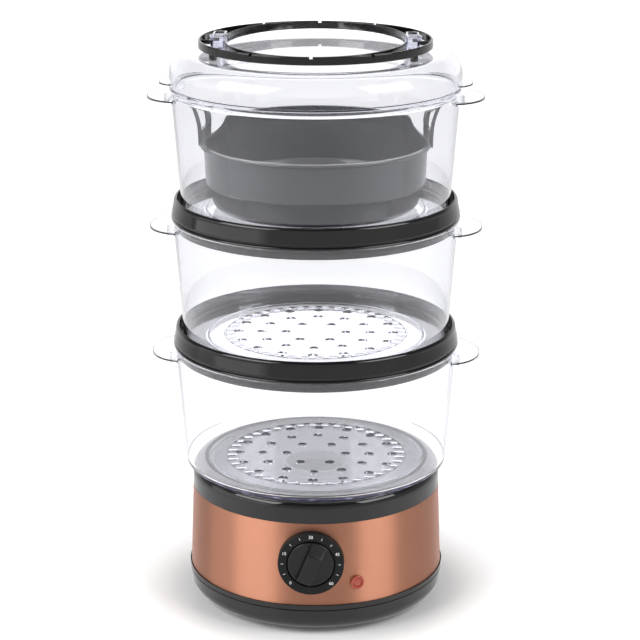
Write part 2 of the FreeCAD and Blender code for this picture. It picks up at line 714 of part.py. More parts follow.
def bowl_grip():
    """One loop grip on +X: a wall flared round the rim, cut to a slanted outline with a window."""
    root = BOWL_RIM_R - 1.2
    low = BOWL_GRIP_FOOT_Z
    top = BOWL_GRIP_TOP
    thick = BOWL_GRIP_THICK
    knee_z = low + BOWL_GRIP_KNEE
    bend_z = top - 12.0
    flare = turned(
        (root, low), (root + thick, low), (root + thick + 0.6, knee_z),
        (root + thick + 3.2, bend_z, BOWL_GRIP_REACH, top),
        (BOWL_GRIP_REACH - thick, top),
        (root + 3.2, bend_z, root + 0.6, knee_z))
    front = BOWL_GRIP_FRONT_Y
    back = BOWL_GRIP_BACK_Y
    outline = side_plate([
        (front + 3, low), (back - 4, low), (back, top - BOWL_GRIP_DROP), (front, top)],
        BOWL_GRIP_CORNER)
    slope = BOWL_GRIP_DROP / (back - front)
    near = front + BOWL_GRIP_ARM
    far = back - BOWL_GRIP_ARM
    under_bar = top - BOWL_GRIP_BAR
    window_low = low + BOWL_WINDOW_RISE
    window = side_plate([
        (near + 2, window_low), (far - 1, window_low),
        (far, under_bar - slope * (far - front)), (near, under_bar - slope * (near - front))],
        BOWL_WINDOW_CORNER)
    return flare.common(outline).cut(window)


def side_plate(corners, radius):
    """Block along +X with the given outline in Y and Z and rounded corners."""
    points = [Vector(70, y, z) for y, z in corners]
    outline = Part.makePolygon(points + points[:1])
    block = Part.Face(outline).extrude(Vector(40, 0, 0))
    along = [e for e in block.Edges if e.BoundBox.XLength > 39]
    return block.makeFillet(radius, along)


# Lid
def lid(rim):
    """Clear lid: upright wall, round shoulder, flat top, side tabs and two ridged clips."""
    wall = CLEAR_WALL
    flat_r = LID_R - LID_SHOULDER
    shell = turned(
        (LID_R, rim), (LID_R, LID_WALL_TOP),
        quarter(flat_r, LID_WALL_TOP, LID_SHOULDER, (flat_r, LID_TOP)),
        (0, LID_TOP), (0, LID_TOP - wall), (flat_r, LID_TOP - wall),
        quarter(flat_r, LID_WALL_TOP, LID_SHOULDER - wall, (LID_R - wall, LID_WALL_TOP)),
        (LID_R - wall, rim + wall), (LID_PLUG_R - wall, rim + wall),
        (LID_PLUG_R - wall, rim - LID_PLUG_DEPTH), (LID_PLUG_R, rim - LID_PLUG_DEPTH), (LID_PLUG_R, rim))
    tab = grip(LID_TAB_REACH, LID_TAB_HALF_WIDTH, LID_R, rim + LID_TAB_RISE, LID_TAB_THICK, LID_TAB_LIP)
    inside = rod(LID_R - 1.2, 0, 0, rim - 10, rim + 20)
    tabs = [part.cut(inside) for part in ring_of(tab, 2)]
    return fused([shell] + tabs + ring_of(clip(), 2))


def clip():
    """Upright clear clip on +X: a ridged hollow post with a nose over the ring's radial bar."""
    low = LID_TOP - 0.2
    half = CLIP_HALF_LONG
    wall = CLIP_WALL
    inner = CLIP_X - CLIP_HALF_WIDE
    outer = CLIP_X + CLIP_HALF_WIDE
    post = box(inner, outer, -half, half, low, CLIP_TOP)
    upright = [e for e in post.Edges if e.BoundBox.ZLength > 5]
    post = post.makeFillet(CLIP_CORNER, upright)
    nose = box(outer - 3, outer + 1.8, -CLIP_NOSE_HALF, CLIP_NOSE_HALF, BAR_TOP + 0.3, CLIP_TOP - 0.6)
    hollow = box(inner + wall, outer - wall, wall - half, half - wall, LID_TOP, CLIP_TOP + 1)
    ribs = []
    for y in CLIP_RIB_PLACES:
        ribs.append(box(inner + 1, outer - 1, y - CLIP_RIB_HALF, y + CLIP_RIB_HALF, low, CLIP_TOP - 1.2))
    return fused([fused([post, nose]).cut(hollow)] + ribs)


def lid_ring_handle():
    """Thin hoop with an oval inner wall, crescent webs with slots, notches and small feet."""
    low = RING_BOTTOM
    top = RING_TOP
    wall = RING_WALL
    oval_x = RING_OVAL_HALF_WIDTH
    oval_y = RING_R - 0.4
    hoop = rod(RING_R, 0, 0, low, top).cut(rod(RING_R - wall, 0, 0, low - 1, top + 1))
    oval = ellipse_prism(oval_x + wall, oval_y, low, top).common(rod(RING_R - 0.1, 0, 0, low, top))
    oval = oval.cut(ellipse_prism(oval_x, oval_y - wall, low - 1, top + 1))
    web = rod(RING_R - 0.5, 0, 0, low + WEB_RISE, low + WEB_RISE + WEB_THICK)
    web = web.cut(ellipse_prism(oval_x + 0.5, oval_y - 0.6, low, top))
    body = fused([hoop, oval, web, radial_bar(-1), radial_bar(1)])
    cuts = [ring_notch(angle) for angle in RING_NOTCH_ANGLES]
    wide = CLIP_HALF_WIDE + 0.5
    long = CLIP_HALF_LONG + 0.5
    for side in (-1, 1):
        cuts += [web_slot(side, y) for y in WEB_SLOT_PLACES]
        middle = side * CLIP_X
        cuts.append(box(middle - wide, middle + wide, -long, long, low - 1, top + 1))
    feet = []
    for x, y in ((1, 1), (-1, 1), (-1, -1), (1, -1)):
        feet.append(rod(RING_FOOT_R, x * RING_FOOT_XY[0], y * RING_FOOT_XY[1], LID_TOP, low + 2))
    return fused([body.cut(Part.makeCompound(cuts))] + feet)


def ring_notch(angle):
    inner = RING_R - RING_WALL - 1
    half = RING_NOTCH_HALF_WIDE
    return around(box(inner, RING_R + 1, -half, half, RING_TOP - RING_NOTCH_DEPTH, RING_TOP + 1), angle)


def radial_bar(side):
    x0 = side * CLIP_X
    x1 = side * (RING_R - RING_WALL + 0.3)
    return box(min(x0, x1), max(x0, x1), -BAR_HALF_WIDE, BAR_HALF_WIDE, RING_BOTTOM + 1.0, BAR_TOP)


def web_slot(side, y):
    """Square hole in the web; its place follows the curve of the hoop."""
    x = side * (RING_R - 6.5 - y * y / (2 * RING_R))
    half = WEB_SLOT_HALF
    return box(x - half, x + half, y - half, y + half, RING_BOTTOM, RING_BOTTOM + 4)


def main():
    os.makedirs("parts", exist_ok=True)
    bottoms = [BASE_TOP + TIER_PITCH * tier for tier in range(3)]
    rims = [bottom + BASKET_HEIGHT for bottom in bottoms]
    pieces = {
        "water_tank": water_tank(),
        "copper_band": copper_band(),
        "lower_housing": lower_housing(),
        "bottom_cover": bottom_cover(),
        "rubber_feet": rubber_feet(),
        "cover_screws": cover_screws(),
        "heating_plate": heating_plate(),
        "heating_element": heating_element(),
        "element_seal": element_seal(),
        "element_clamp": element_clamp(),
        "element_screws": element_screws(),
        "thermostat": thermostat(),
        "thermal_fuse": thermal_fuse(),
        "timer_body": timer_body(),
        "timer_bell": timer_bell(),
        "timer_screws": timer_screws(),
        "timer_shaft": timer_shaft(),
        "timer_knob": timer_knob(),
        "dial_bezel": dial_bezel(),
        "indicator_lens": indicator_lens(),
        "indicator_lamp": indicator_lamp(),
        "terminal_block": terminal_block(),
        "cord_gland": cord_gland(),
        "timer_lead": timer_lead(),
        "neutral_lead": neutral_lead(),
        "heater_lead": heater_lead(),
        "steam_sleeve": steam_sleeve(),
        "drip_tray": drip_tray(),
        "lower_basket": basket(bottoms[0]),
        "lower_collar": collar(rims[0]),
        "middle_basket": basket(bottoms[1]),
        "upper_collar": collar(rims[1]),
        "top_basket": basket(bottoms[2]),
        "rice_bowl": rice_bowl(bottoms[2] + FLOOR_THICK),
        "lid": lid(rims[2]),
        "lid_ring_handle": lid_ring_handle(),
    }
    for node, shape in pieces.items():
        save(shape, node)


main()
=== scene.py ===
# %% [markdown]
# # A three-tier electric food steamer
#
# The real object is a stack: a black and copper base with a clockwork dial, three clear
# plastic baskets with black joining collars between them, a grey rice bowl in the top
# basket, and a clear lid with a black ring to lift it by.
#
# The solid model gives every piece its size and place. This lesson dresses it: it sets up
# the camera and a plain studio, builds the finishes out of shader nodes, and models the
# pieces whose small forms the solids leave out.

# %% Load the solids
import math

import bpy
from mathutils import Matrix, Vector


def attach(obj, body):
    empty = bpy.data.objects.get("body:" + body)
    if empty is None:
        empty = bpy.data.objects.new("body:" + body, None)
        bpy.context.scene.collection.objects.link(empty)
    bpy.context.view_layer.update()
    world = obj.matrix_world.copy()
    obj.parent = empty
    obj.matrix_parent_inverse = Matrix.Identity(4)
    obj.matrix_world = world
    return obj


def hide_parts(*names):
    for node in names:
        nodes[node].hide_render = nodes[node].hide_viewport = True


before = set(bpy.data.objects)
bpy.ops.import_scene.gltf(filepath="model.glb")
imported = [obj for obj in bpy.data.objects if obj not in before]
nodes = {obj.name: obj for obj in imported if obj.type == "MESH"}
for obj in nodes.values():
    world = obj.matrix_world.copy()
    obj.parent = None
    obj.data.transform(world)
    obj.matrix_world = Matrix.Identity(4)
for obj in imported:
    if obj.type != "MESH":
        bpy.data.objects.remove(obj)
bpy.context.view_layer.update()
scene = bpy.context.scene
MM = 0.001

# %% [markdown]
# ## The camera
#
# A product picture like this is taken from a little above the lid, from well back, with a
# long lens, so that the tiers look nearly the same size. A long lens is a narrow angle:
# 117 mm on a 36 mm sensor. The camera stands 1.47 m in front of the stack and 0.65 m up,
# tipped down by 16.6 degrees. The stack is turned a little, so the camera goes round it
# by 2.2 degrees instead.

# %% Set the camera
CAMERA_DISTANCE = 1.4668
CAMERA_HEIGHT = 0.6481
CAMERA_AROUND = math.radians(2.2)
CAMERA_TIP = math.radians(16.621)

camera_data = bpy.data.cameras.new("Camera")
camera_data.lens = 117.0
camera_data.sensor_width = 36.0
camera_data.clip_end = 30.0
camera = bpy.data.objects.new("Camera", camera_data)
scene.collection.objects.link(camera)
camera.location = (
    CAMERA_DISTANCE * math.sin(CAMERA_AROUND),
    -CAMERA_DISTANCE * math.cos(CAMERA_AROUND),
    CAMERA_HEIGHT)
camera.rotation_euler = (math.pi / 2 - CAMERA_TIP, 0, CAMERA_AROUND - math.radians(0.12))
scene.camera = camera
scene.view_settings.view_transform = "Standard"
scene.cycles.max_bounces = 24
scene.cycles.transmission_bounces = 24
scene.cycles.transparent_max_bounces = 24
print("camera at", [round(v, 4) for v in camera.location])

# %% [markdown]
# ## The floor and the light
#
# A pack shot like this has a white sweep and two big softboxes hung high, one on each side
# of the camera. Their light does two things. It makes the sweep white. It also leaves
# short bright lines on every edge that is rounded upward, and two upright bright bands on
# the brushed metal, because brushing spreads a highlight across its lines. Between the
# boxes the ceiling is dark, and that dark is what makes the black shoulder look glossy.
#
# Upright walls seen from above mirror the table in front of them. A real table falls off
# into darkness towards the camera, so for mirror rays the floor's colour is painted darker in
# front: painted shade.
# Far behind, where the boxes no longer reach, the sweep glows by itself: its emission is painted
# light, none right beside the stack and rising further out.

# %% Lay the floor
def clear_selection():
    """Operators act on all that is selected, so each step starts with nothing selected."""
    if bpy.context.object and bpy.context.object.mode != "OBJECT":
        bpy.ops.object.mode_set(mode="OBJECT")
    bpy.ops.object.select_all(action="DESELECT")


def new_material(name):
    """An empty node material with its Principled shader, ready to be wired."""
    material = bpy.data.materials.new(name)
    material.use_nodes = True
    return material, material.node_tree.nodes, material.node_tree.links


def fill_ramp(ramp, stops):
    """Put grey stops of (place, level) on a colour ramp."""
    for i, (place, level) in enumerate(stops):
        stop = ramp.elements[i] if i < 2 else ramp.elements.new(place)
        stop.position = place
        stop.color = (level, level, level, 1)


FLOOR_WHITE = 0.95
# Darker floor colour that mirror rays see in front of the stack: painted shade.
FLOOR_SHADE_FOR_MIRRORS = 0.75
# Floor emission is painted light. Mirror rays see a flat glow, rays seen through clear plastic get
# extra glow, and the rings rise with distance from the stack.
GLOW_MIRRORED = 0.35
GLOW_SEEN_THROUGH = 0.22
GLOW_REACH = 2.4
GLOW_RINGS = ((0.0, 0.0), (0.10, 0.04), (0.13, 0.36), (0.17, 0.62),
              (0.25, 0.74), (0.8, 0.84), (2.2, 0.97))

clear_selection()
bpy.ops.mesh.primitive_plane_add(size=16)
floor = bpy.context.object
floor.name = "studio_floor"
floor_white, floor_nodes, floor_links = new_material("floor_white")
floor_shader = floor_nodes["Principled BSDF"]
floor_shader.inputs["Roughness"].default_value = 0.35
floor_shader.inputs["IOR"].default_value = 1.35
floor_place = floor_nodes.new("ShaderNodeTexCoord")
spot = floor_nodes.new("ShaderNodeSeparateXYZ")
floor_links.new(floor_place.outputs["Object"], spot.inputs["Vector"])
away = floor_nodes.new("ShaderNodeVectorMath")
away.operation = "LENGTH"
floor_links.new(floor_place.outputs["Object"], away.inputs[0])
toward_camera = floor_nodes.new("ShaderNodeMath")
toward_camera.operation = "DIVIDE"
floor_links.new(spot.outputs["Y"], toward_camera.inputs[0])
floor_links.new(away.outputs["Value"], toward_camera.inputs[1])
# Painted shade: for mirror rays the floor's base colour falls from FLOOR_WHITE to a darker grey
# towards the camera.
dim_front = floor_nodes.new("ShaderNodeMapRange")
dim_front.interpolation_type = "SMOOTHSTEP"
dim_front.inputs["From Min"].default_value = -0.9
dim_front.inputs["From Max"].default_value = -0.35
dim_front.inputs["To Min"].default_value = FLOOR_SHADE_FOR_MIRRORS
dim_front.inputs["To Max"].default_value = FLOOR_WHITE
floor_links.new(toward_camera.outputs["Value"], dim_front.inputs["Value"])
mirror_ray = floor_nodes.new("ShaderNodeLightPath")
floor_mirror_shade = floor_nodes.new("ShaderNodeMix")
floor_mirror_shade.data_type = "FLOAT"
floor_mirror_shade.inputs["A"].default_value = FLOOR_WHITE
floor_links.new(dim_front.outputs["Result"], floor_mirror_shade.inputs["B"])
floor_links.new(mirror_ray.outputs["Is Glossy Ray"], floor_mirror_shade.inputs["Factor"])
floor_links.new(floor_mirror_shade.outputs["Result"], floor_shader.inputs["Base Color"])
far_glow = floor_nodes.new("ShaderNodeValToRGB")
reach = floor_nodes.new("ShaderNodeMath")
reach.operation = "DIVIDE"
reach.inputs[1].default_value = GLOW_REACH
floor_links.new(away.outputs["Value"], reach.inputs[0])
floor_links.new(reach.outputs["Value"], far_glow.inputs["Fac"])

far_glow.color_ramp.elements[1].position = 1.0
fill_ramp(
    far_glow.color_ramp, [(away_by / GLOW_REACH, level) for away_by, level in GLOW_RINGS])
floor_shader.inputs["Emission Color"].default_value = (1, 1, 1, 1)
glow = floor_nodes.new("ShaderNodeMix")
glow.data_type = "FLOAT"
floor_links.new(mirror_ray.outputs["Is Glossy Ray"], glow.inputs["Factor"])
floor_links.new(far_glow.outputs["Color"], glow.inputs["A"])
glow.inputs["B"].default_value = GLOW_MIRRORED
through = floor_nodes.new("ShaderNodeMath")
through.operation = "MULTIPLY_ADD"
through.inputs[1].default_value = GLOW_SEEN_THROUGH
floor_links.new(mirror_ray.outputs["Is Transmission Ray"], through.inputs[0])
floor_links.new(glow.outputs["Result"], through.inputs[2])
floor_links.new(through.outputs["Value"], floor_shader.inputs["Emission Strength"])
floor.data.materials.append(floor_white)
print("floor laid")

# %% [markdown]
# The two softboxes are area lights. Each is given by how far round from the front and how
# high it hangs, in degrees, and it is aimed at the middle of the lower tiers.

# %% Hang the lights
STACK_MIDDLE = Vector((0, 0, 0.2))


def softbox(name, around, up, distance, width, tall, radiance):
    """Soft light at so many degrees round from the front and up, facing the stack."""
    data = bpy.data.lights.new(name, "AREA")
    data.shape = "RECTANGLE"
    data.size = width
    data.size_y = tall
    data.energy = radiance * math.pi * width * tall
    lamp = bpy.data.objects.new(name, data)
    scene.collection.objects.link(lamp)
    turn = math.radians(around)
    rise = math.radians(up)
    lamp.location = STACK_MIDDLE + distance * Vector((
        math.sin(turn) * math.cos(rise), -math.cos(turn) * math.cos(rise), math.sin(rise)))
    lamp.rotation_euler = (STACK_MIDDLE - lamp.location).to_track_quat("-Z", "Y").to_euler()


softbox("left_softbox", -56, 32, 1.3, 1.00, 0.70, 5.6)
softbox("right_softbox", 62, 32, 1.3, 0.80, 0.70, 5.8)
print("two high softboxes")

# %% [markdown]
# White cards stand round the stack, and the glossy pieces mirror them. The world paints
# them: a ramp gives every bearing its brightness, and above the cards the ceiling is dark.
# A ray that has passed through clear plastic sees an even white instead, which keeps the
# walls of the baskets as bright as they are in the picture.

# %% Paint the world
SKY_ABOVE = 0.12
SKY_BRIGHTEST = 1.8
SKY_SEEN_THROUGH = 1.35
CARDS_FADE = (0.16, 0.50)
SKY_ROUND = ((-180, 1.2), (-142, 1.2), (-124, 0.4), (-108, 0.4), (-104, 1.6), (-45, 1.75),
             (-34, 0.7), (0, 0.65), (60, 0.75), (110, 0.45), (128, 0.45), (146, 1.2), (180, 1.2))
world = bpy.data.worlds.new("studio")
scene.world = world
world.use_nodes = True
sky = world.node_tree.nodes
sky_links = world.node_tree.links
direction = sky.new("ShaderNodeTexCoord")
split = sky.new("ShaderNodeSeparateXYZ")
sky_links.new(direction.outputs["Generated"], split.inputs["Vector"])
bearing = sky.new("ShaderNodeMath")
bearing.operation = "ARCTAN2"
frontward = sky.new("ShaderNodeMath")
frontward.operation = "MULTIPLY"
frontward.inputs[1].default_value = -1.0
sky_links.new(split.outputs["Y"], frontward.inputs[0])
sky_links.new(split.outputs["X"], bearing.inputs[0])
sky_links.new(frontward.outputs["Value"], bearing.inputs[1])
turn_share = sky.new("ShaderNodeMath")
turn_share.operation = "MULTIPLY_ADD"
turn_share.inputs[1].default_value = 1 / math.tau
turn_share.inputs[2].default_value = 0.5
sky_links.new(bearing.outputs["Value"], turn_share.inputs[0])
cards = sky.new("ShaderNodeValToRGB")
cards.color_ramp.elements[1].position = 1.0
fill_ramp(
    cards.color_ramp,
    [(around / 360 + 0.5, level / SKY_BRIGHTEST) for around, level in SKY_ROUND])
sky_links.new(turn_share.outputs["Value"], cards.inputs["Fac"])
horizon = sky.new("ShaderNodeMath")
horizon.operation = "MULTIPLY"
horizon.inputs[1].default_value = SKY_BRIGHTEST
sky_links.new(cards.outputs["Color"], horizon.inputs[0])
height_share = sky.new("ShaderNodeMapRange")
height_share.interpolation_type = "SMOOTHSTEP"
height_share.inputs["From Min"].default_value = CARDS_FADE[0]
height_share.inputs["From Max"].default_value = CARDS_FADE[1]
sky_links.new(split.outputs["Z"], height_share.inputs["Value"])
ceiling = sky.new("ShaderNodeMix")
ceiling.data_type = "FLOAT"
sky_links.new(height_share.outputs["Result"], ceiling.inputs["Factor"])
sky_links.new(horizon.outputs["Value"], ceiling.inputs["A"])
ceiling.inputs["B"].default_value = SKY_ABOVE
through_clear = sky.new("ShaderNodeLightPath")
studio_white = sky.new("ShaderNodeMix")
studio_white.data_type = "FLOAT"
sky_links.new(through_clear.outputs["Is Transmission Ray"], studio_white.inputs["Factor"])
sky_links.new(ceiling.outputs["Result"], studio_white.inputs["A"])
studio_white.inputs["B"].default_value = SKY_SEEN_THROUGH
sky_links.new(studio_white.outputs["Result"], sky["Background"].inputs["Strength"])
sky["Background"].inputs["Color"].default_value = (1, 1, 1, 1)
print("cards round the horizon and a dark ceiling")

# %% [markdown]
# ## Surface effects that several finishes share
#
# No moulded plastic is perfectly smooth or clean. Its skin has a very fine ripple, its
# gloss varies where hands and cloths have been, and a little dust settles on what faces
# up. Each effect is a node group, built once. A group gives out plain values, and each
# material uses them with its own strength.

# %% The moulded skin group
def make_group(name, inputs, outputs):
    """Node group with named sockets; returns the group, its nodes, links, entry and exit."""
    group = bpy.data.node_groups.new(name, "ShaderNodeTree")
    for label, kind, value in inputs:
        socket = group.interface.new_socket(label, in_out="INPUT", socket_type=kind)
        if value is not None:
            socket.default_value = value
    for label, kind in outputs:
        group.interface.new_socket(label, in_out="OUTPUT", socket_type=kind)
    entry = group.nodes.new("NodeGroupInput")
    leave = group.nodes.new("NodeGroupOutput")
    return group, group.nodes, group.links, entry, leave


def noise(tree_nodes, links, vector, scale_socket, detail):
    """Noise texture on the given coordinates, its scale driven by a socket or a number."""
    texture = tree_nodes.new("ShaderNodeTexNoise")
    texture.inputs["Detail"].default_value = detail
    links.new(vector, texture.inputs["Vector"])
    if isinstance(scale_socket, (int, float)):
        texture.inputs["Scale"].default_value = scale_socket
    else:
        links.new(scale_socket, texture.inputs["Scale"])
    return texture


skin_group, skin_nodes, skin_links, skin_in, skin_out = make_group(
    "MouldedSkin",
    [("Ripple Scale", "NodeSocketFloat", 900.0),
     ("Roughness", "NodeSocketFloat", 0.2),
     ("Handling", "NodeSocketFloat", 0.05)],
    [("Ripple", "NodeSocketFloat"), ("Roughness", "NodeSocketFloat"), ("Dust", "NodeSocketFloat")])
skin_place = skin_nodes.new("ShaderNodeTexCoord")
ripple = noise(
    skin_nodes, skin_links, skin_place.outputs["Object"], skin_in.outputs["Ripple Scale"], 2.0)
smear = noise(skin_nodes, skin_links, skin_place.outputs["Object"], 22.0, 3.0)
smear_amount = skin_nodes.new("ShaderNodeMath")
smear_amount.operation = "MULTIPLY_ADD"
skin_links.new(smear.outputs["Fac"], smear_amount.inputs[0])
skin_links.new(skin_in.outputs["Handling"], smear_amount.inputs[1])
skin_links.new(skin_in.outputs["Roughness"], smear_amount.inputs[2])
specks = noise(skin_nodes, skin_links, skin_place.outputs["Object"], 2600.0, 1.0)
speck_cut = skin_nodes.new("ShaderNodeMapRange")
speck_cut.inputs["From Min"].default_value = 0.68
speck_cut.inputs["From Max"].default_value = 0.78
skin_links.new(specks.outputs["Fac"], speck_cut.inputs["Value"])
facing = skin_nodes.new("ShaderNodeNewGeometry")
facing_split = skin_nodes.new("ShaderNodeSeparateXYZ")
skin_links.new(facing.outputs["Normal"], facing_split.inputs["Vector"])
upward = skin_nodes.new("ShaderNodeMath")
upward.operation = "MULTIPLY"
upward.use_clamp = True
skin_links.new(facing_split.outputs["Z"], upward.inputs[0])
skin_links.new(speck_cut.outputs["Result"], upward.inputs[1])
skin_links.new(ripple.outputs["Fac"], skin_out.inputs["Ripple"])
skin_links.new(smear_amount.outputs["Value"], skin_out.inputs["Roughness"])
skin_links.new(upward.outputs["Value"], skin_out.inputs["Dust"])
print("group", skin_group.name, "ready")

# %% [markdown]
# ## Moulded plastics and rubber
#
# One helper makes every opaque plastic: a colour, a roughness, how strong the ripple is
# and how much dust shows. The black glossy parts are nearly mirror smooth, the knob and
# dial are satin, and the rubber feet are matt. Only the numbers differ, as in a moulding
# shop where the same press makes all of them from different granules.

# %% The plastic helper
DUST_COLOUR = (0.42, 0.41, 0.40, 1)


def place_group(tree_nodes, group):
    """Put a shared group into a material's tree."""
    node = tree_nodes.new("ShaderNodeGroup")
    node.node_tree = group
    return node


def moulded(name, colour, roughness, ripple_scale=900.0, ripple_height=0.02,
             handling=0.06, dust=0.15):
    """Opaque moulded plastic with a fine ripple, uneven gloss and a little dust."""
    material, tree, links = new_material(name)
    shader = tree["Principled BSDF"]
    skin = place_group(tree, skin_group)
    skin.inputs["Ripple Scale"].default_value = ripple_scale
    skin.inputs["Roughness"].default_value = roughness
    skin.inputs["Handling"].default_value = handling
    dusting = tree.new("ShaderNodeMix")
    dusting.data_type = "RGBA"
    dust_share = tree.new("ShaderNodeMath")
    dust_share.operation = "MULTIPLY"
    dust_share.inputs[1].default_value = dust
    links.new(skin.outputs["Dust"], dust_share.inputs[0])
    links.new(dust_share.outputs["Value"], dusting.inputs["Factor"])
    dusting.inputs["A"].default_value = (*colour, 1)
    dusting.inputs["B"].default_value = DUST_COLOUR
    links.new(dusting.outputs["Result"], shader.inputs["Base Color"])
    links.new(skin.outputs["Roughness"], shader.inputs["Roughness"])
    bump = tree.new("ShaderNodeBump")
    bump.inputs["Strength"].default_value = 1.0
    bump.inputs["Distance"].default_value = ripple_height * MM
    links.new(skin.outputs["Ripple"], bump.inputs["Height"])
    links.new(bump.outputs["Normal"], shader.inputs["Normal"])
    return material


PLASTIC_LOOKS = {
    "gloss_black": ((0.0045, 0.0047, 0.005), 0.045, 300.0, 0.004, 0.03, 0.03),
    "matte_black": ((0.008, 0.008, 0.0085), 0.22, 1400.0, 0.008),
    "dial_black": ((0.0045, 0.0052, 0.0055), 0.55, 1800.0, 0.010),
    "knob_black": ((0.0045, 0.0045, 0.005), 0.20, 1800.0, 0.004),
    "rubber": ((0.016, 0.016, 0.016), 0.72, 1500.0, 0.04),
    "silicone": ((0.45, 0.12, 0.08), 0.55, 900.0, 0.02),
    "component_black": ((0.03, 0.03, 0.03), 0.5),
    "timer_case": ((0.50, 0.49, 0.45), 0.4),
    "white_nylon": ((0.72, 0.71, 0.68), 0.45),
    "lead_brown": ((0.13, 0.045, 0.02), 0.4),
    "lead_blue": ((0.02, 0.07, 0.28), 0.4),
    "sleeve_grey": ((0.16, 0.165, 0.175), 0.4),
    "bowl_grey": ((0.0215, 0.023, 0.0256), 0.20, 120.0, 0.0012, 0.05, 0.0),
}
plastics = {name: moulded(name, *look) for name, look in PLASTIC_LOOKS.items()}
for name, level in (("dial_black", 0.25), ("knob_black", 0.35)):
    shader = plastics[name].node_tree.nodes["Principled BSDF"]
    shader.inputs["Specular IOR Level"].default_value = level
print("plastics:", ", ".join(plastics))


# %% [markdown]
# ## Brushed copper and the other metals
#
# The band is a thin sheet with a copper colour, brushed along its length before it was
# rolled round the base. Brushing leaves fine lines that run round the band. Seen as a
# shader, that is noise stretched hard along the surface, and a highlight that spreads
# across the lines. Object coordinates do it without a UV map: the noise is squeezed in
# height and left long round the band.

# %% The brushing group
brush_group, brush_nodes, brush_links, brush_in, brush_out = make_group(
    "BrushedLines",
    [("Stretch", "NodeSocketVector", (6.0, 6.0, 1800.0)),
     ("Roughness", "NodeSocketFloat", 0.3),
     ("Variation", "NodeSocketFloat", 0.1)],
    [("Lines", "NodeSocketFloat"), ("Roughness", "NodeSocketFloat")])
brush_place = brush_nodes.new("ShaderNodeTexCoord")
brush_scale = brush_nodes.new("ShaderNodeVectorMath")
brush_scale.operation = "MULTIPLY"
brush_links.new(brush_place.outputs["Object"], brush_scale.inputs[0])
brush_links.new(brush_in.outputs["Stretch"], brush_scale.inputs[1])
lines = noise(brush_nodes, brush_links, brush_scale.outputs["Vector"], 1.0, 4.0)
line_rough = brush_nodes.new("ShaderNodeMath")
line_rough.operation = "MULTIPLY_ADD"
brush_links.new(lines.outputs["Fac"], line_rough.inputs[0])
brush_links.new(brush_in.outputs["Variation"], line_rough.inputs[1])
brush_links.new(brush_in.outputs["Roughness"], line_rough.inputs[2])
brush_links.new(lines.outputs["Fac"], brush_out.inputs["Lines"])
brush_links.new(line_rough.outputs["Value"], brush_out.inputs["Roughness"])


def metal(name, colour, roughness, stretch, variation, line_height, tint=0.06):
    """Bare metal with brushed or turned lines in colour, gloss and height."""
    material, tree, links = new_material(name)
    shader = tree["Principled BSDF"]
    shader.inputs["Metallic"].default_value = 1.0
    brush = place_group(tree, brush_group)
    brush.inputs["Stretch"].default_value = stretch
    brush.inputs["Roughness"].default_value = roughness
    brush.inputs["Variation"].default_value = variation
    shade = tree.new("ShaderNodeMix")
    shade.data_type = "RGBA"
    shade.inputs["A"].default_value = (*[c * (1 - tint) for c in colour], 1)
    shade.inputs["B"].default_value = (*[min(1.0, c * (1 + tint)) for c in colour], 1)
    links.new(brush.outputs["Lines"], shade.inputs["Factor"])
    links.new(shade.outputs["Result"], shader.inputs["Base Color"])
    links.new(brush.outputs["Roughness"], shader.inputs["Roughness"])
    bump = tree.new("ShaderNodeBump")
    bump.inputs["Distance"].default_value = line_height * MM
    links.new(brush.outputs["Lines"], bump.inputs["Height"])
    links.new(bump.outputs["Normal"], shader.inputs["Normal"])
    return material


METAL_LOOKS = {
    "copper_band": ((0.50, 0.228, 0.146), 0.34, (5.0, 5.0, 1700.0), 0.12, 0.004),
    "steel": ((0.56, 0.56, 0.57), 0.28, (300.0, 300.0, 300.0), 0.12, 0.003),
    "cast_aluminium": ((0.60, 0.60, 0.61), 0.45, (500.0, 500.0, 500.0), 0.15, 0.02),
    "element_metal": ((0.33, 0.32, 0.31), 0.4, (400.0, 400.0, 400.0), 0.2, 0.01),
}
metals = {name: metal(name, *look) for name, look in METAL_LOOKS.items()}
copper = metals["copper_band"]
copper_shader = copper.node_tree.nodes["Principled BSDF"]
copper_shader.inputs["Anisotropic"].default_value = 1.0
upright = copper.node_tree.nodes.new("ShaderNodeCombineXYZ")
upright.inputs["Z"].default_value = 1.0
copper.node_tree.links.new(upright.outputs["Vector"], copper_shader.inputs["Tangent"])
print("metals:", ", ".join(metals))

# %% [markdown]
# ## Clear plastic
#
# The baskets and the lid are thin, clear and slightly blue at the edges, where one looks
# along the wall instead of through it. The wall has a real thickness in the mesh, so a
# refracting shader bends light twice and gives the bright rims by itself. Rays that come
# from the lamps are let straight through, so that what stands inside is lit.

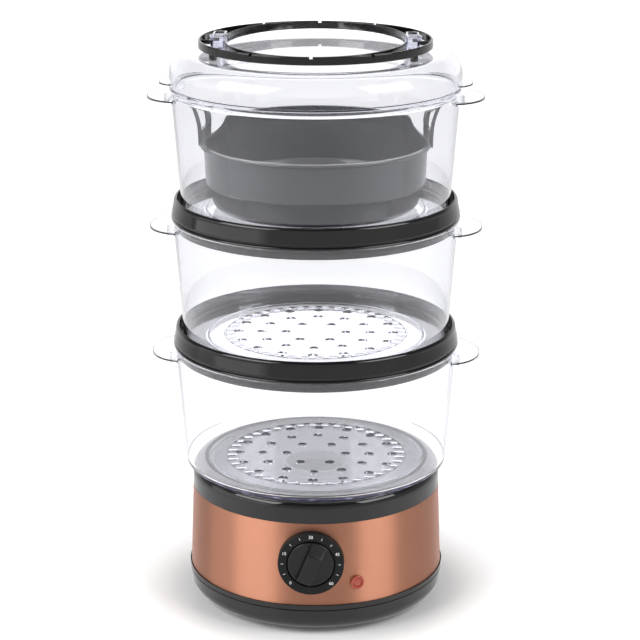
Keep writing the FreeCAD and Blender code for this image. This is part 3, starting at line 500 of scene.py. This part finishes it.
# %% The clear plastic
def clear(name, tint, roughness, shadow_tint, edge_tint, edge_density):
    """Refracting plastic; its colour deepens along a wall, and lamp light passes through it."""
    material, tree, links = new_material(name)
    shader = tree["Principled BSDF"]
    shader.inputs["Base Color"].default_value = (*tint, 1)
    shader.inputs["Transmission Weight"].default_value = 1.0
    shader.inputs["IOR"].default_value = 1.49
    skin = place_group(tree, skin_group)
    skin.inputs["Ripple Scale"].default_value = 60.0
    skin.inputs["Roughness"].default_value = roughness
    skin.inputs["Handling"].default_value = 0.02
    links.new(skin.outputs["Roughness"], shader.inputs["Roughness"])
    bump = tree.new("ShaderNodeBump")
    bump.inputs["Distance"].default_value = 0.012 * MM
    links.new(skin.outputs["Ripple"], bump.inputs["Height"])
    links.new(bump.outputs["Normal"], shader.inputs["Normal"])
    through = tree.new("ShaderNodeBsdfTransparent")
    through.inputs["Color"].default_value = (*shadow_tint, 1)
    path = tree.new("ShaderNodeLightPath")
    depth = tree.new("ShaderNodeVolumeAbsorption")
    depth.inputs["Color"].default_value = (*edge_tint, 1)
    depth.inputs["Density"].default_value = edge_density
    links.new(depth.outputs["Volume"], tree["Material Output"].inputs["Volume"])
    mix = tree.new("ShaderNodeMixShader")
    links.new(path.outputs["Is Shadow Ray"], mix.inputs["Fac"])
    links.new(shader.outputs["BSDF"], mix.inputs[1])
    links.new(through.outputs["BSDF"], mix.inputs[2])
    links.new(mix.outputs["Shader"], tree["Material Output"].inputs["Surface"])
    return material


clear_plastic = clear(
    "clear_plastic", tint=(0.996, 0.997, 1.0), roughness=0.0, shadow_tint=(0.96, 0.962, 0.97),
    edge_tint=(0.60, 0.615, 0.90), edge_density=38.0)
red_lens = moulded("red_lens", (0.43, 0.075, 0.045), 0.14, 400.0, 0.004)
red_lens.node_tree.nodes["Principled BSDF"].inputs["Transmission Weight"].default_value = 0.2
print("clear plastics ready")

# %% [markdown]
# ## Dress the solids
#
# The record names a material slot for each solid. Each solid gets the finish of its slot.

# %% Give every solid its finish
finishes = dict(plastics)
finishes.update(metals)
finishes["clear_plastic"] = clear_plastic
finishes["red_lens"] = red_lens
for solid in nodes.values():
    for material_slot in solid.material_slots:
        slot_name = material_slot.material.name.split(".")[0]
        material_slot.material = finishes[slot_name]
print("dressed", len(nodes), "solids")

# %% [markdown]
# ## Helpers for shaping pieces
#
# Most of this object is round, as a turner or a mould maker would see it: one section,
# spun about the upright axis. `turn` does that. It starts from a single point, extrudes it
# along the section point by point, spins the section a full turn and merges the seam. What
# isn't round is cut or joined with a Boolean modifier, which `carve` applies at once.
# A clear wall bends light by its shading normals, so every long straight gets a support
# point near each end. Without them the rounding of the rim would tilt the whole wall.

# %% Turn a section
def edit_all():
    """Enter edit mode with everything selected."""
    bpy.ops.object.mode_set(mode="EDIT")
    bpy.ops.mesh.select_all(action="SELECT")


SUPPORT = 0.4


def with_supports(section):
    """Add a point close to each end of a long straight, so smooth shading stays flat there."""
    points = [section[0]]
    for here, there in zip(section, section[1:]):
        length = math.hypot(there[0] - here[0], there[1] - here[1])
        if length > 6 * SUPPORT:
            for share in (SUPPORT / length, 1 - SUPPORT / length):
                points.append(tuple(a + (b - a) * share for a, b in zip(here, there)))
        points.append(there)
    return points


def turn(name, section, steps=160):
    """Spin a section of (radius, height) points in millimetres about the upright axis."""
    section = with_supports(section)
    clear_selection()
    bpy.ops.mesh.primitive_plane_add(size=MM)
    piece = bpy.context.object
    piece.name = name
    edit_all()
    bpy.ops.mesh.merge(type="CENTER")
    radius, height = section[0]
    bpy.ops.transform.translate(value=(radius * MM, 0, height * MM))
    for here, there in zip(section, section[1:]):
        step = ((there[0] - here[0]) * MM, 0, (there[1] - here[1]) * MM)
        bpy.ops.mesh.extrude_region_move(TRANSFORM_OT_translate={"value": step})
    bpy.ops.mesh.select_all(action="SELECT")
    bpy.ops.mesh.spin(steps=steps, angle=math.tau, center=(0, 0, 0), axis=(0, 0, 1))
    bpy.ops.mesh.select_all(action="SELECT")
    bpy.ops.mesh.remove_doubles(threshold=2e-6)
    bpy.ops.mesh.normals_make_consistent(inside=False)
    bpy.ops.object.mode_set(mode="OBJECT")
    return piece


def bend(centre_r, centre_z, radius, start, stop, count):
    """Points of a rounded corner in a section, from one angle in degrees to another."""
    points = []
    for i in range(count + 1):
        angle = math.radians(start + (stop - start) * i / count)
        points.append((centre_r + radius * math.cos(angle), centre_z + radius * math.sin(angle)))
    return points


print("turning helpers ready")

# %% [markdown]
# The other helpers work like hands on the bench: pick up one piece, join several, cut one
# with another, and at the end smooth, name and dress the piece and mount it on its body.

# %% Carve, join and finish
def only(piece):
    """Make one piece the selected and active one."""
    clear_selection()
    piece.select_set(True)
    bpy.context.view_layer.objects.active = piece


def joined(pieces, name):
    """Join several meshes into one object."""
    clear_selection()
    for piece in pieces:
        piece.select_set(True)
    bpy.context.view_layer.objects.active = pieces[0]
    bpy.ops.object.join()
    pieces[0].name = name
    return pieces[0]


def carve(piece, tool, operation="DIFFERENCE"):
    """Apply a Boolean with the tool, then throw the tool away."""
    only(piece)
    modifier = piece.modifiers.new("carve", "BOOLEAN")
    modifier.operation = operation
    modifier.solver = "EXACT"
    modifier.object = tool
    bpy.ops.object.modifier_apply(modifier="carve")
    bpy.data.objects.remove(tool, do_unlink=True)
    return piece


def place_in_mesh(piece):
    """Put the object at the origin, unturned and unscaled, with its place in its mesh."""
    only(piece)
    bpy.ops.object.transform_apply(location=True, rotation=True, scale=True)


def hand_over(piece, name, body, finish, smooth=30):
    """Smooth, name, dress and mount a finished piece."""
    place_in_mesh(piece)
    bpy.ops.object.shade_smooth_by_angle(angle=math.radians(smooth))
    piece.name = name
    piece.data.name = name
    piece.data.materials.clear()
    piece.data.materials.append(finishes[finish])
    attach(piece, body)
    return piece


def copy_up(piece, name, rise):
    """Copy of a finished piece with its own mesh, so many metres higher."""
    only(piece)
    bpy.ops.object.duplicate()
    twin = bpy.context.object
    twin.name = name
    twin.location.z += rise
    place_in_mesh(twin)
    return twin


def block(low, high, round_by=0.0):
    """Box between two corners in millimetres, with rounded edges if asked."""
    clear_selection()
    middle = [(a + b) / 2 * MM for a, b in zip(low, high)]
    bpy.ops.mesh.primitive_cube_add(size=1, location=middle)
    piece = bpy.context.object
    piece.scale = [(b - a) * MM for a, b in zip(low, high)]
    place_in_mesh(piece)
    if round_by:
        edit_all()
        bpy.ops.mesh.bevel(offset=round_by * MM, segments=2, affect="EDGES")
        bpy.ops.object.mode_set(mode="OBJECT")
    return piece


def post(radius, x, y, low, high, vertices):
    """Upright cylinder in millimetres."""
    clear_selection()
    bpy.ops.mesh.primitive_cylinder_add(
        vertices=vertices, radius=radius * MM, depth=(high - low) * MM,
        location=(x * MM, y * MM, (low + high) / 2 * MM))
    piece = bpy.context.object
    place_in_mesh(piece)
    return piece


print("carving helpers ready")

# %% [markdown]
# ## The clear baskets
#
# Each tier is one injection-moulded basket of clear plastic. It has a tapered wall, a rim
# that is a little thicker than the wall, and a flat floor. A low ring under the floor
# finds its place in the collar below. Inside that ring the floor steps down and is
# perforated for steam. The three baskets come from one mould, so one is modelled and
# copied up by one pitch each time.

# %% Turn the basket's shell
PITCH = 0.095
BASKET_BOTTOM = 105.0
BASKET_RIM = 194.5
FOOT_R = 97.0
RING_FOOT_R = 78.8
RIM_R = 103.4
WALL_THICK = 1.6
STEP_R = 66.0


def wall_r(height):
    """Outer radius of the tapered wall at a height of the lowest basket."""
    return FOOT_R + (RIM_R - FOOT_R) * (height - BASKET_BOTTOM) / (BASKET_RIM - BASKET_BOTTOM)


def basket_section():
    """Closed section: under the floor, up the outside, over the rim and back inside."""
    bottom = BASKET_BOTTOM
    rim = BASKET_RIM
    section = [(0, bottom), (RING_FOOT_R - 0.9, bottom), (RING_FOOT_R - 0.7, bottom - 3.6)]
    section += bend(RING_FOOT_R, bottom - 3.4, 0.6, 200, 340, 4)
    section += [(RING_FOOT_R + 0.9, bottom)]
    section += bend(FOOT_R - 3.0, bottom + 3.0, 3.0, -90, -6, 8)
    section += [(wall_r(rim - 4.0), rim - 4.0), (RIM_R + 0.25, rim - 3.2)]
    section += bend(RIM_R - 0.55, rim - 0.8, 0.8, 0, 90, 4)
    section += bend(RIM_R - WALL_THICK + 0.4, rim - 0.6, 0.6, 90, 180, 4)
    section += [(wall_r(rim - 5.0) - WALL_THICK, rim - 5.0)]
    section += [(wall_r(bottom + 4.5) - WALL_THICK, bottom + 4.5)]
    section += bend(FOOT_R - WALL_THICK - 2.6, bottom + 4.4, 2.6, -4, -90, 8)
    section += [(STEP_R + 1.4, bottom + 1.8), (STEP_R + 1.0, bottom + 2.2)]
    section += [(STEP_R + 0.2, bottom + 2.2)]
    section += [(STEP_R - 0.4, bottom + 1.5), (0, bottom + 1.5)]
    return section


basket = turn("basket_shell", basket_section())
print("basket shell:", len(basket.data.polygons), "faces")

# %% [markdown]
# Each grip is a thin half-oval shelf with its edge turned down, so that fingertips find
# it. It starts as a filled circle, which is stretched to an oval, cut in half, thickened,
# and then hollowed from below by an inset that is pushed up. Two small upright ribs stand
# on it against the wall, where the load of a full basket goes.

# %% Make one grip
GRIP_Z = BASKET_RIM - 7.5
GRIP_REACH = 120.6
GRIP_HALF = 33.0
RIB_Y = 29.6
RIB_HALF = 0.7


def faces_where(piece, test):
    """Select the faces whose centre and normal pass a test."""
    bpy.ops.mesh.select_all(action="DESELECT")
    bpy.ops.object.mode_set(mode="OBJECT")
    for face in piece.data.polygons:
        face.select = test(face.center, face.normal)
    bpy.ops.object.mode_set(mode="EDIT")


def firm(piece, least):
    """Inset every face larger than so many square millimetres, so that it shades flat."""
    only(piece)
    edit_all()
    bpy.ops.mesh.select_all(action="DESELECT")
    bpy.ops.object.mode_set(mode="OBJECT")
    for face in piece.data.polygons:
        face.select = face.area > least * MM * MM
    bpy.ops.object.mode_set(mode="EDIT")
    bpy.ops.mesh.inset(thickness=0.15 * MM, use_individual=True)
    bpy.ops.object.mode_set(mode="OBJECT")


def shelf(reach, half, start, top, lip, edge, thick):
    """Half-oval shelf on +X with a turned-down edge; all sizes in millimetres."""
    clear_selection()
    bpy.ops.mesh.primitive_circle_add(vertices=96, radius=MM, fill_type="NGON")
    piece = bpy.context.object
    piece.scale = (reach - start, half, 1)
    piece.location = (start * MM, 0, top * MM)
    place_in_mesh(piece)
    edit_all()
    bpy.ops.mesh.bisect(
        plane_co=(start * MM, 0, 0), plane_no=(1, 0, 0), clear_inner=True, use_fill=False)
    bpy.ops.mesh.select_all(action="SELECT")
    bpy.ops.mesh.extrude_region_move(TRANSFORM_OT_translate={"value": (0, 0, -(thick + lip) * MM)})
    bpy.ops.mesh.select_all(action="SELECT")
    bpy.ops.mesh.normals_make_consistent(inside=False)
    faces_where(piece, lambda centre, normal: normal.z < -0.9)
    bpy.ops.mesh.inset(thickness=edge * MM)
    bpy.ops.transform.translate(value=(0, 0, lip * MM))
    bpy.ops.mesh.select_all(action="SELECT")
    bpy.ops.object.mode_set(mode="OBJECT")
    modifier = piece.modifiers.new("round", "BEVEL")
    modifier.width = 0.25 * MM
    modifier.segments = 2
    modifier.limit_method = "ANGLE"
    modifier.angle_limit = math.radians(50)
    bpy.ops.object.modifier_apply(modifier="round")
    firm(piece, 60)
    return piece


def other_side(piece):
    """Copy turned half a turn about the upright axis."""
    only(piece)
    bpy.ops.object.duplicate()
    twin = bpy.context.object
    twin.rotation_euler.z = math.pi
    place_in_mesh(twin)
    return twin


grip_wall = wall_r(GRIP_Z)
grip = shelf(GRIP_REACH, GRIP_HALF, grip_wall - 4.0, GRIP_Z + 1.4, 1.0, 0.9, 1.3)
ribs = []
for side in (-1, 1):
    ribs.append(block(
        (grip_wall - 3.2, side * RIB_Y - RIB_HALF, GRIP_Z + 0.6),
        (grip_wall + 2.2, side * RIB_Y + RIB_HALF, BASKET_RIM - 1.0), 0.3))
print("grip reaches", GRIP_REACH, "mm")

# %% [markdown]
# The grips have to become one moulding with the wall, because two clear solids that only
# overlap show their hidden surfaces. So the inside of the wall is cut off the grip first,
# and then grip and wall are united. Flat beads on the floor make its lace edge, and the
# steam holes are one cutter made of 34 pins.

# %% Unite the grips and pierce the floor
HOLE_R = 3.6
HOLE_RINGS = ((22.0, 6), (40.0, 12), (57.0, 16))
LACE_COUNT = 40
LACE_RING_R = 63.2
LACE_R = 4.2
LACE_FLATTENED = 0.24

for part in [grip] + ribs:
    inside = post(grip_wall - 0.7, 0, 0, BASKET_BOTTOM, BASKET_RIM + 8, 160)
    carve(part, inside)
    carve(basket, other_side(part), "UNION")
    carve(basket, part, "UNION")

beads = []
for i in range(LACE_COUNT):
    angle = math.tau * (i + 0.5) / LACE_COUNT
    clear_selection()
    bpy.ops.mesh.primitive_uv_sphere_add(
        segments=20, ring_count=10, radius=LACE_R * MM,
        location=(LACE_RING_R * MM * math.cos(angle), LACE_RING_R * MM * math.sin(angle),
                  (BASKET_BOTTOM + 1.4) * MM))
    bead = bpy.context.object
    bead.scale.z = LACE_FLATTENED
    bead.rotation_euler.z = angle
    place_in_mesh(bead)
    beads.append(bead)
carve(basket, joined(beads, "floor_lace"), "UNION")

pins = []
for ring_r, count in HOLE_RINGS:
    for i in range(count):
        angle = math.tau * i / count
        pins.append(post(
            HOLE_R, ring_r * math.cos(angle), ring_r * math.sin(angle),
            BASKET_BOTTOM - 5, BASKET_BOTTOM + 7, 24))
carve(basket, joined(pins, "steam_pins"))
hand_over(basket, "clear_basket_lower", "basket_1", "clear_plastic", 35)
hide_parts("lower_basket")
middle = copy_up(basket, "clear_basket_middle", PITCH)
hand_over(middle, "clear_basket_middle", "basket_2", "clear_plastic", 35)
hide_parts("middle_basket")
top = copy_up(basket, "clear_basket_top", 2 * PITCH)
hand_over(top, "clear_basket_top", "basket_3", "clear_plastic", 35)
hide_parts("top_basket")
print("three baskets,", len(basket.data.polygons), "faces each")

# %% [markdown]
# ## The black joining collars
#
# A collar sits on a basket's rim and carries the next basket. Its skirt drops inside the
# lower basket, a bead covers the joint, and its band leans in a little towards a rounded
# top edge. It is one moulding, so it is one section spun round. The radii matter more than
# anything else here. Each one draws its own thin line of light under the softboxes. Parts
# that rest on each other keep a gap as thin as paper, so that their faces don't merge.

# %% Turn the collars
COLLAR_R = 104.5
LEDGE_R = 81.0
SEAT_GAP = 0.05


def collar_section(rim):
    """Closed section of a collar that sits on the given rim height."""
    seat = rim + SEAT_GAP
    ledge = rim + 5.5 - SEAT_GAP
    section = [(COLLAR_R - 3.9, seat), (COLLAR_R - 1.4, seat)]
    section += bend(COLLAR_R - 1.2, rim + 1.15, 1.15, -80, 70, 7)
    section += [(COLLAR_R - 1.25, rim + 2.5), (COLLAR_R - 1.25, rim + 3.0)]
    section += bend(COLLAR_R - 1.0, rim + 4.1, 0.8, -80, 10, 5)
    section += [(COLLAR_R - 1.85, rim + 12.4)]
    section += bend(COLLAR_R - 4.1, rim + 13.2, 2.25, 10, 88, 9)
    section += [(COLLAR_R - 4.3, rim + 15.2), (COLLAR_R - 4.3, rim + 6.2), (COLLAR_R - 5.0, ledge)]
    section += [(LEDGE_R + 0.4, ledge), (LEDGE_R, rim + 5.1), (LEDGE_R, rim + 3.7)]
    section += [(COLLAR_R - 5.7, rim + 3.7)]
    section += [(COLLAR_R - 5.7, rim - 6.4), (COLLAR_R - 5.3, rim - 6.8)]
    section += [(COLLAR_R - 4.3, rim - 6.8)]
    section += [(COLLAR_R - 3.9, rim - 6.4), (COLLAR_R - 3.9, seat)]
    return section


lower_ring = turn("collar_lower", collar_section(BASKET_RIM), 180)
hand_over(lower_ring, "collar_band_lower", "collar_1", "gloss_black", 40)
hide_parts("lower_collar")
upper_ring = copy_up(lower_ring, "collar_band_upper", PITCH)
hand_over(upper_ring, "collar_band_upper", "collar_2", "gloss_black", 40)
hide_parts("upper_collar")
print("collars:", len(lower_ring.data.polygons), "faces each")

# %% [markdown]
# ## The clear lid
#
# The lid is one clear moulding: an upright wall, a big round shoulder and a flat top. A
# short plug under it drops inside the top basket. Two small tabs stick out over the
# basket's grips. On the top stand two hollow clips with cross ribs, which hold the ring.
# Everything is united into one skin, for the same reason as on the baskets.

# %% Turn the lid and add tabs and clips
LID_RIM = 384.5
LID_R = 104.4
LID_TOP = 409.0
SHOULDER = 15.0
PLUG_R = 101.0
CLIP_X = 68.5
CLIP_HALF = 4.9

lid_section = [(0, LID_TOP)] + bend(LID_R - SHOULDER, LID_TOP - SHOULDER, SHOULDER, 90, 0, 14)
lid_section += [(LID_R, LID_RIM + 0.5), (LID_R - 0.5, LID_RIM + SEAT_GAP)]
lid_section += [(PLUG_R, LID_RIM + SEAT_GAP), (PLUG_R, LID_RIM - 2.8)]
lid_section += [(100.6, LID_RIM - 3.2), (99.8, LID_RIM - 3.2)]
lid_section += [(99.4, LID_RIM - 2.8), (99.4, LID_RIM + 1.2)]
lid_section += [(99.8, LID_RIM + 1.6), (LID_R - 2.4, LID_RIM + 1.6), (LID_R - 1.6, LID_RIM + 2.4)]
lid_section += bend(LID_R - SHOULDER, LID_TOP - SHOULDER, 13.4, 0, 90, 14)
lid_section += [(0, LID_TOP - 1.6)]
clear_lid = turn("clear_lid", lid_section)


def lid_clip():
    """Hollow ridged post on +X, open at the top, with a nose towards the hoop."""
    inner = CLIP_X - CLIP_HALF
    outer = CLIP_X + CLIP_HALF
    shell = block((inner, -15, LID_TOP - 0.4), (outer, 15, 421.0), 0.8)
    carve(shell, block((inner + 1.8, -13.2, LID_TOP + 0.4), (outer - 1.8, 13.2, 423.0)))
    for across in (-10, -5, 0, 5, 10):
        ridge = block((inner - 0.35, across - 0.8, LID_TOP - 0.5),
                      (outer + 0.35, across + 0.8, 420.0), 0.2)
        carve(shell, ridge, "UNION")
    nose = block((outer - 1.5, -3, 417.0), (outer + 1.8, 3, 420.4), 0.4)
    return carve(shell, nose, "UNION")


tab = shelf(112.0, 20.0, LID_R - 4.0, LID_RIM + 3.6, 0.9, 0.8, 1.1)
carve(tab, post(LID_R - 0.7, 0, 0, LID_RIM - 6, LID_RIM + 10, 160))
for part in (tab, lid_clip()):
    carve(clear_lid, other_side(part), "UNION")
    carve(clear_lid, part, "UNION")
hand_over(clear_lid, "clear_lid", "lid_assembly", "clear_plastic", 35)
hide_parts("lid")
print("lid:", len(clear_lid.data.polygons), "faces")

# %% [markdown]
# ## The ring handle on the lid
#
# The handle is a thin hoop with an oval wall inside it. Between the two, at the left and
# the right, a crescent web with square slots ties them together. Small notches in the top
# edge and four short feet finish it. The hoop and the oval are turned from one rounded
# section, and the oval is the same hoop squeezed across.

# %% Build the ring handle
RING_R = 83.2
RING_LOW = 412.7
RING_TOP = 418.5
OVAL_HALF = 64.0
SLOT_HALF = 2.6


def hoop_section(inner, outer):
    """Rounded upright strip between two radii."""
    section = bend(outer - 0.6, RING_LOW + 0.6, 0.6, -90, 0, 4)
    section += bend(outer - 0.7, RING_TOP - 0.7, 0.7, 0, 90, 5)
    section += bend(inner + 0.5, RING_TOP - 0.5, 0.5, 90, 180, 4)
    section += bend(inner + 0.5, RING_LOW + 0.5, 0.5, 180, 270, 4)
    return section + section[:1]


def clip_opening(side):
    """Cutter for the opening round the clip on one side."""
    return block((side * CLIP_X - 5.4, -15.5, RING_LOW - 2),
                 (side * CLIP_X + 5.4, 15.5, RING_TOP + 2))


def ring_cutter():
    """Notches in the top edge and the two openings for the clips, in one cutter."""
    tools = []
    for turned_by in (30, 60, 90, 120, 150, 210, 240, 270, 300, 330):
        tool = block((79.5, -1.2, RING_TOP - 1.6), (86, 1.2, RING_TOP + 2))
        tool.rotation_euler.z = math.radians(turned_by)
        place_in_mesh(tool)
        tools.append(tool)
    for side in (-1, 1):
        tools.append(clip_opening(side))
    return joined(tools, "ring_cutter")


hoop = carve(turn("hoop", hoop_section(RING_R - 1.7, RING_R), 180), ring_cutter())
oval = turn("oval", hoop_section(RING_R - 2.2, RING_R - 0.5), 180)
only(oval)
oval.scale.x = (OVAL_HALF + 1.7) / (RING_R - 0.5)
place_in_mesh(oval)
carve(oval, ring_cutter())
web_section = [(0, RING_LOW + 1.4), (RING_R - 0.6, RING_LOW + 1.4)]
web_section += [(RING_R - 0.6, RING_LOW + 2.9), (0, RING_LOW + 2.9)]
web = turn("web", web_section, 96)
window = post(RING_R - 1.0, 0, 0, RING_LOW - 2, RING_TOP, 96)
window.scale.x = (OVAL_HALF + 0.6) / (RING_R - 1.0)
place_in_mesh(window)
carve(web, window)
slots = []
for side in (-1, 1):
    for across in (-26, -18, -10, 10, 18, 26):
        out = side * (RING_R - 6.5 - across * across / (2 * RING_R))
        slots.append(block((out - SLOT_HALF, across - SLOT_HALF, RING_LOW - 1),
                           (out + SLOT_HALF, across + SLOT_HALF, RING_LOW + 5)))
    slots.append(clip_opening(side))
carve(web, joined(slots, "web_slots"))
ring_parts = [hoop, oval, web]
for side in (-1, 1):
    near, far = sorted((side * CLIP_X, side * (RING_R - 1.4)))
    ring_parts.append(block((near, -1.6, RING_LOW + 1.0), (far, 1.6, 416.7), 0.3))
    for across in (-41.0, 41.0):
        foot = post(2.8, side * 69.5, across, 409.0, RING_LOW + 2, 24)
        edit_all()
        bpy.ops.mesh.bevel(offset=0.4 * MM, segments=2, affect="EDGES")
        bpy.ops.object.mode_set(mode="OBJECT")
        ring_parts.append(foot)
ring_handle = joined(ring_parts, "ring_handle")
hand_over(ring_handle, "ring_handle", "lid_assembly", "gloss_black", 40)
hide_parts("lid_ring_handle")
print("ring handle:", len(ring_handle.data.polygons), "faces")

# %% [markdown]
# ## The knob
#
# The knob and the lens face forward, so they are turned upright and then tipped onto their
# side. The knob is a satin disc with a softened edge and a finger bar, wide at its foot and
# narrow at its crest.

# %% Make the knob
DIAL_HEIGHT = 57.5
BAR_TOP = 104.5
KNOB_R = 16.7
KNOB_TURN = 22.5


def face_front(piece, height, turned_by=0.0):
    """Tip a piece turned about the upright axis so that it faces the front at a height."""
    only(piece)
    piece.rotation_euler = (math.pi / 2, 0, math.radians(turned_by))
    piece.location.z = height * MM
    place_in_mesh(piece)
    return piece


disc_section = [(0, 91.0), (KNOB_R - 0.4, 91.0)] + bend(KNOB_R - 1.1, 96.3, 1.1, -5, 90, 6)
disc_section += [(KNOB_R - 2.6, 97.4), (KNOB_R - 3.0, 97.25), (0, 97.25)]
disc = turn("knob_disc", disc_section, 120)
bar = block((-6.2, -15.2, 96.8), (6.2, 15.2, BAR_TOP))
edit_all()
faces_where(bar, lambda centre, normal: normal.z > 0.9)
bpy.ops.transform.resize(
    value=(0.84, 0.707, 1), center_override=(0, -7.7 * MM, BAR_TOP * MM))
bpy.ops.mesh.select_all(action="SELECT")
bpy.ops.mesh.bevel(offset=0.7 * MM, segments=4, affect="EDGES")
bpy.ops.object.mode_set(mode="OBJECT")
firm(bar, 12)
only(bar)
bar.rotation_euler.z = math.radians(-KNOB_TURN)
place_in_mesh(bar)
knob = joined([disc, bar], "knob")
face_front(knob, DIAL_HEIGHT)
hand_over(knob, "knob", "timer_dial", "knob_black", 40)
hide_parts("timer_knob")
print("knob box", [round(v, 4) for v in knob.dimensions])

# %% [markdown]
# ## The lamp lens
#
# The lens is a red cap with a raised rim round a shallow dome. That rim catches the light
# at its top and leaves a dark groove inside. It sits right of the dial, on the curve of the
# band.

# %% Make the lamp lens
LENS_HEIGHT = 40.6
LENS_AROUND = 20.5

lens_section = [(0, 88.2), (4.2, 88.2), (4.2, 93.4), (5.1, 93.4)]
lens_section += bend(4.4, 94.9, 0.7, 0, 90, 5) + bend(4.0, 95.2, 0.4, 90, 180, 3)
lens_section += [(3.45, 94.6), (3.2, 94.75), (2.2, 95.05), (1.0, 95.2), (0, 95.22)]
lens = turn("lens", lens_section, 64)
face_front(lens, LENS_HEIGHT)
only(lens)
lens.rotation_euler.z = math.radians(LENS_AROUND)
place_in_mesh(lens)
hand_over(lens, "lamp_lens", "base", "red_lens", 40)
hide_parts("indicator_lens")
print("lens made")

# %% [markdown]
# ## The print on the dial
#
# The timer runs for an hour over three quarters of a turn, so five minutes are 22.5
# degrees. Numbers stand at every quarter of an hour and thin marks at every five minutes
# between them. On the real dial they are pad-printed in white, which leaves ink about a
# tenth of a millimetre proud. Each number is a text object made into a mesh and laid on
# the bezel's flat face.

# %% Print the numbers and marks
DIAL_CENTRE = Vector((0, 0, DIAL_HEIGHT)) * MM
PRINT_Y = -97.1 * MM
PRINT_R = 20.6
MINUTES = 60
DEGREES_PER_MINUTE = 4.5

ink = moulded("dial_print", (0.78, 0.78, 0.76), 0.5, 1200.0, 0.005)
finishes["dial_print"] = ink


def dial_spot(minute, radius):
    """Place on the dial face, and the turn of that place from straight up."""
    turn_by = math.radians((minute - MINUTES / 2) * DEGREES_PER_MINUTE)
    offset = Vector((math.sin(turn_by), 0, math.cos(turn_by))) * radius * MM
    return DIAL_CENTRE + offset, turn_by


def printed_number(minute):
    """One number, upright to read, centred on the print circle."""
    clear_selection()
    bpy.ops.object.text_add()
    number = bpy.context.object
    number.data.body = str(minute)
    number.data.align_x = "CENTER"
    number.data.align_y = "CENTER"
    number.data.size = 3.2 * MM
    number.data.extrude = 0.06 * MM
    bpy.ops.object.convert(target="MESH")
    number = bpy.context.object
    spot, _ = dial_spot(minute, PRINT_R)
    number.location = (spot.x, PRINT_Y, spot.z)
    number.rotation_euler = (math.pi / 2, 0, 0)
    place_in_mesh(number)
    return number


def printed_mark(minute):
    """One thin radial mark."""
    spot, turn_by = dial_spot(minute, PRINT_R)
    mark = block((-0.14, -97.16, -0.9), (0.14, -97.02, 0.9))
    mark.location = (spot.x, 0, spot.z)
    mark.rotation_euler = (0, turn_by, 0)
    place_in_mesh(mark)
    return mark


numbers = [printed_number(minute) for minute in range(0, MINUTES + 1, 15)]
marks = [printed_mark(minute) for minute in range(5, MINUTES, 5) if minute % 15]
dial_print = joined(numbers + marks, "dial_print")
hand_over(dial_print, "dial_print", "base", "dial_print")
print("printed", len(numbers), "numbers and", len(marks), "marks")
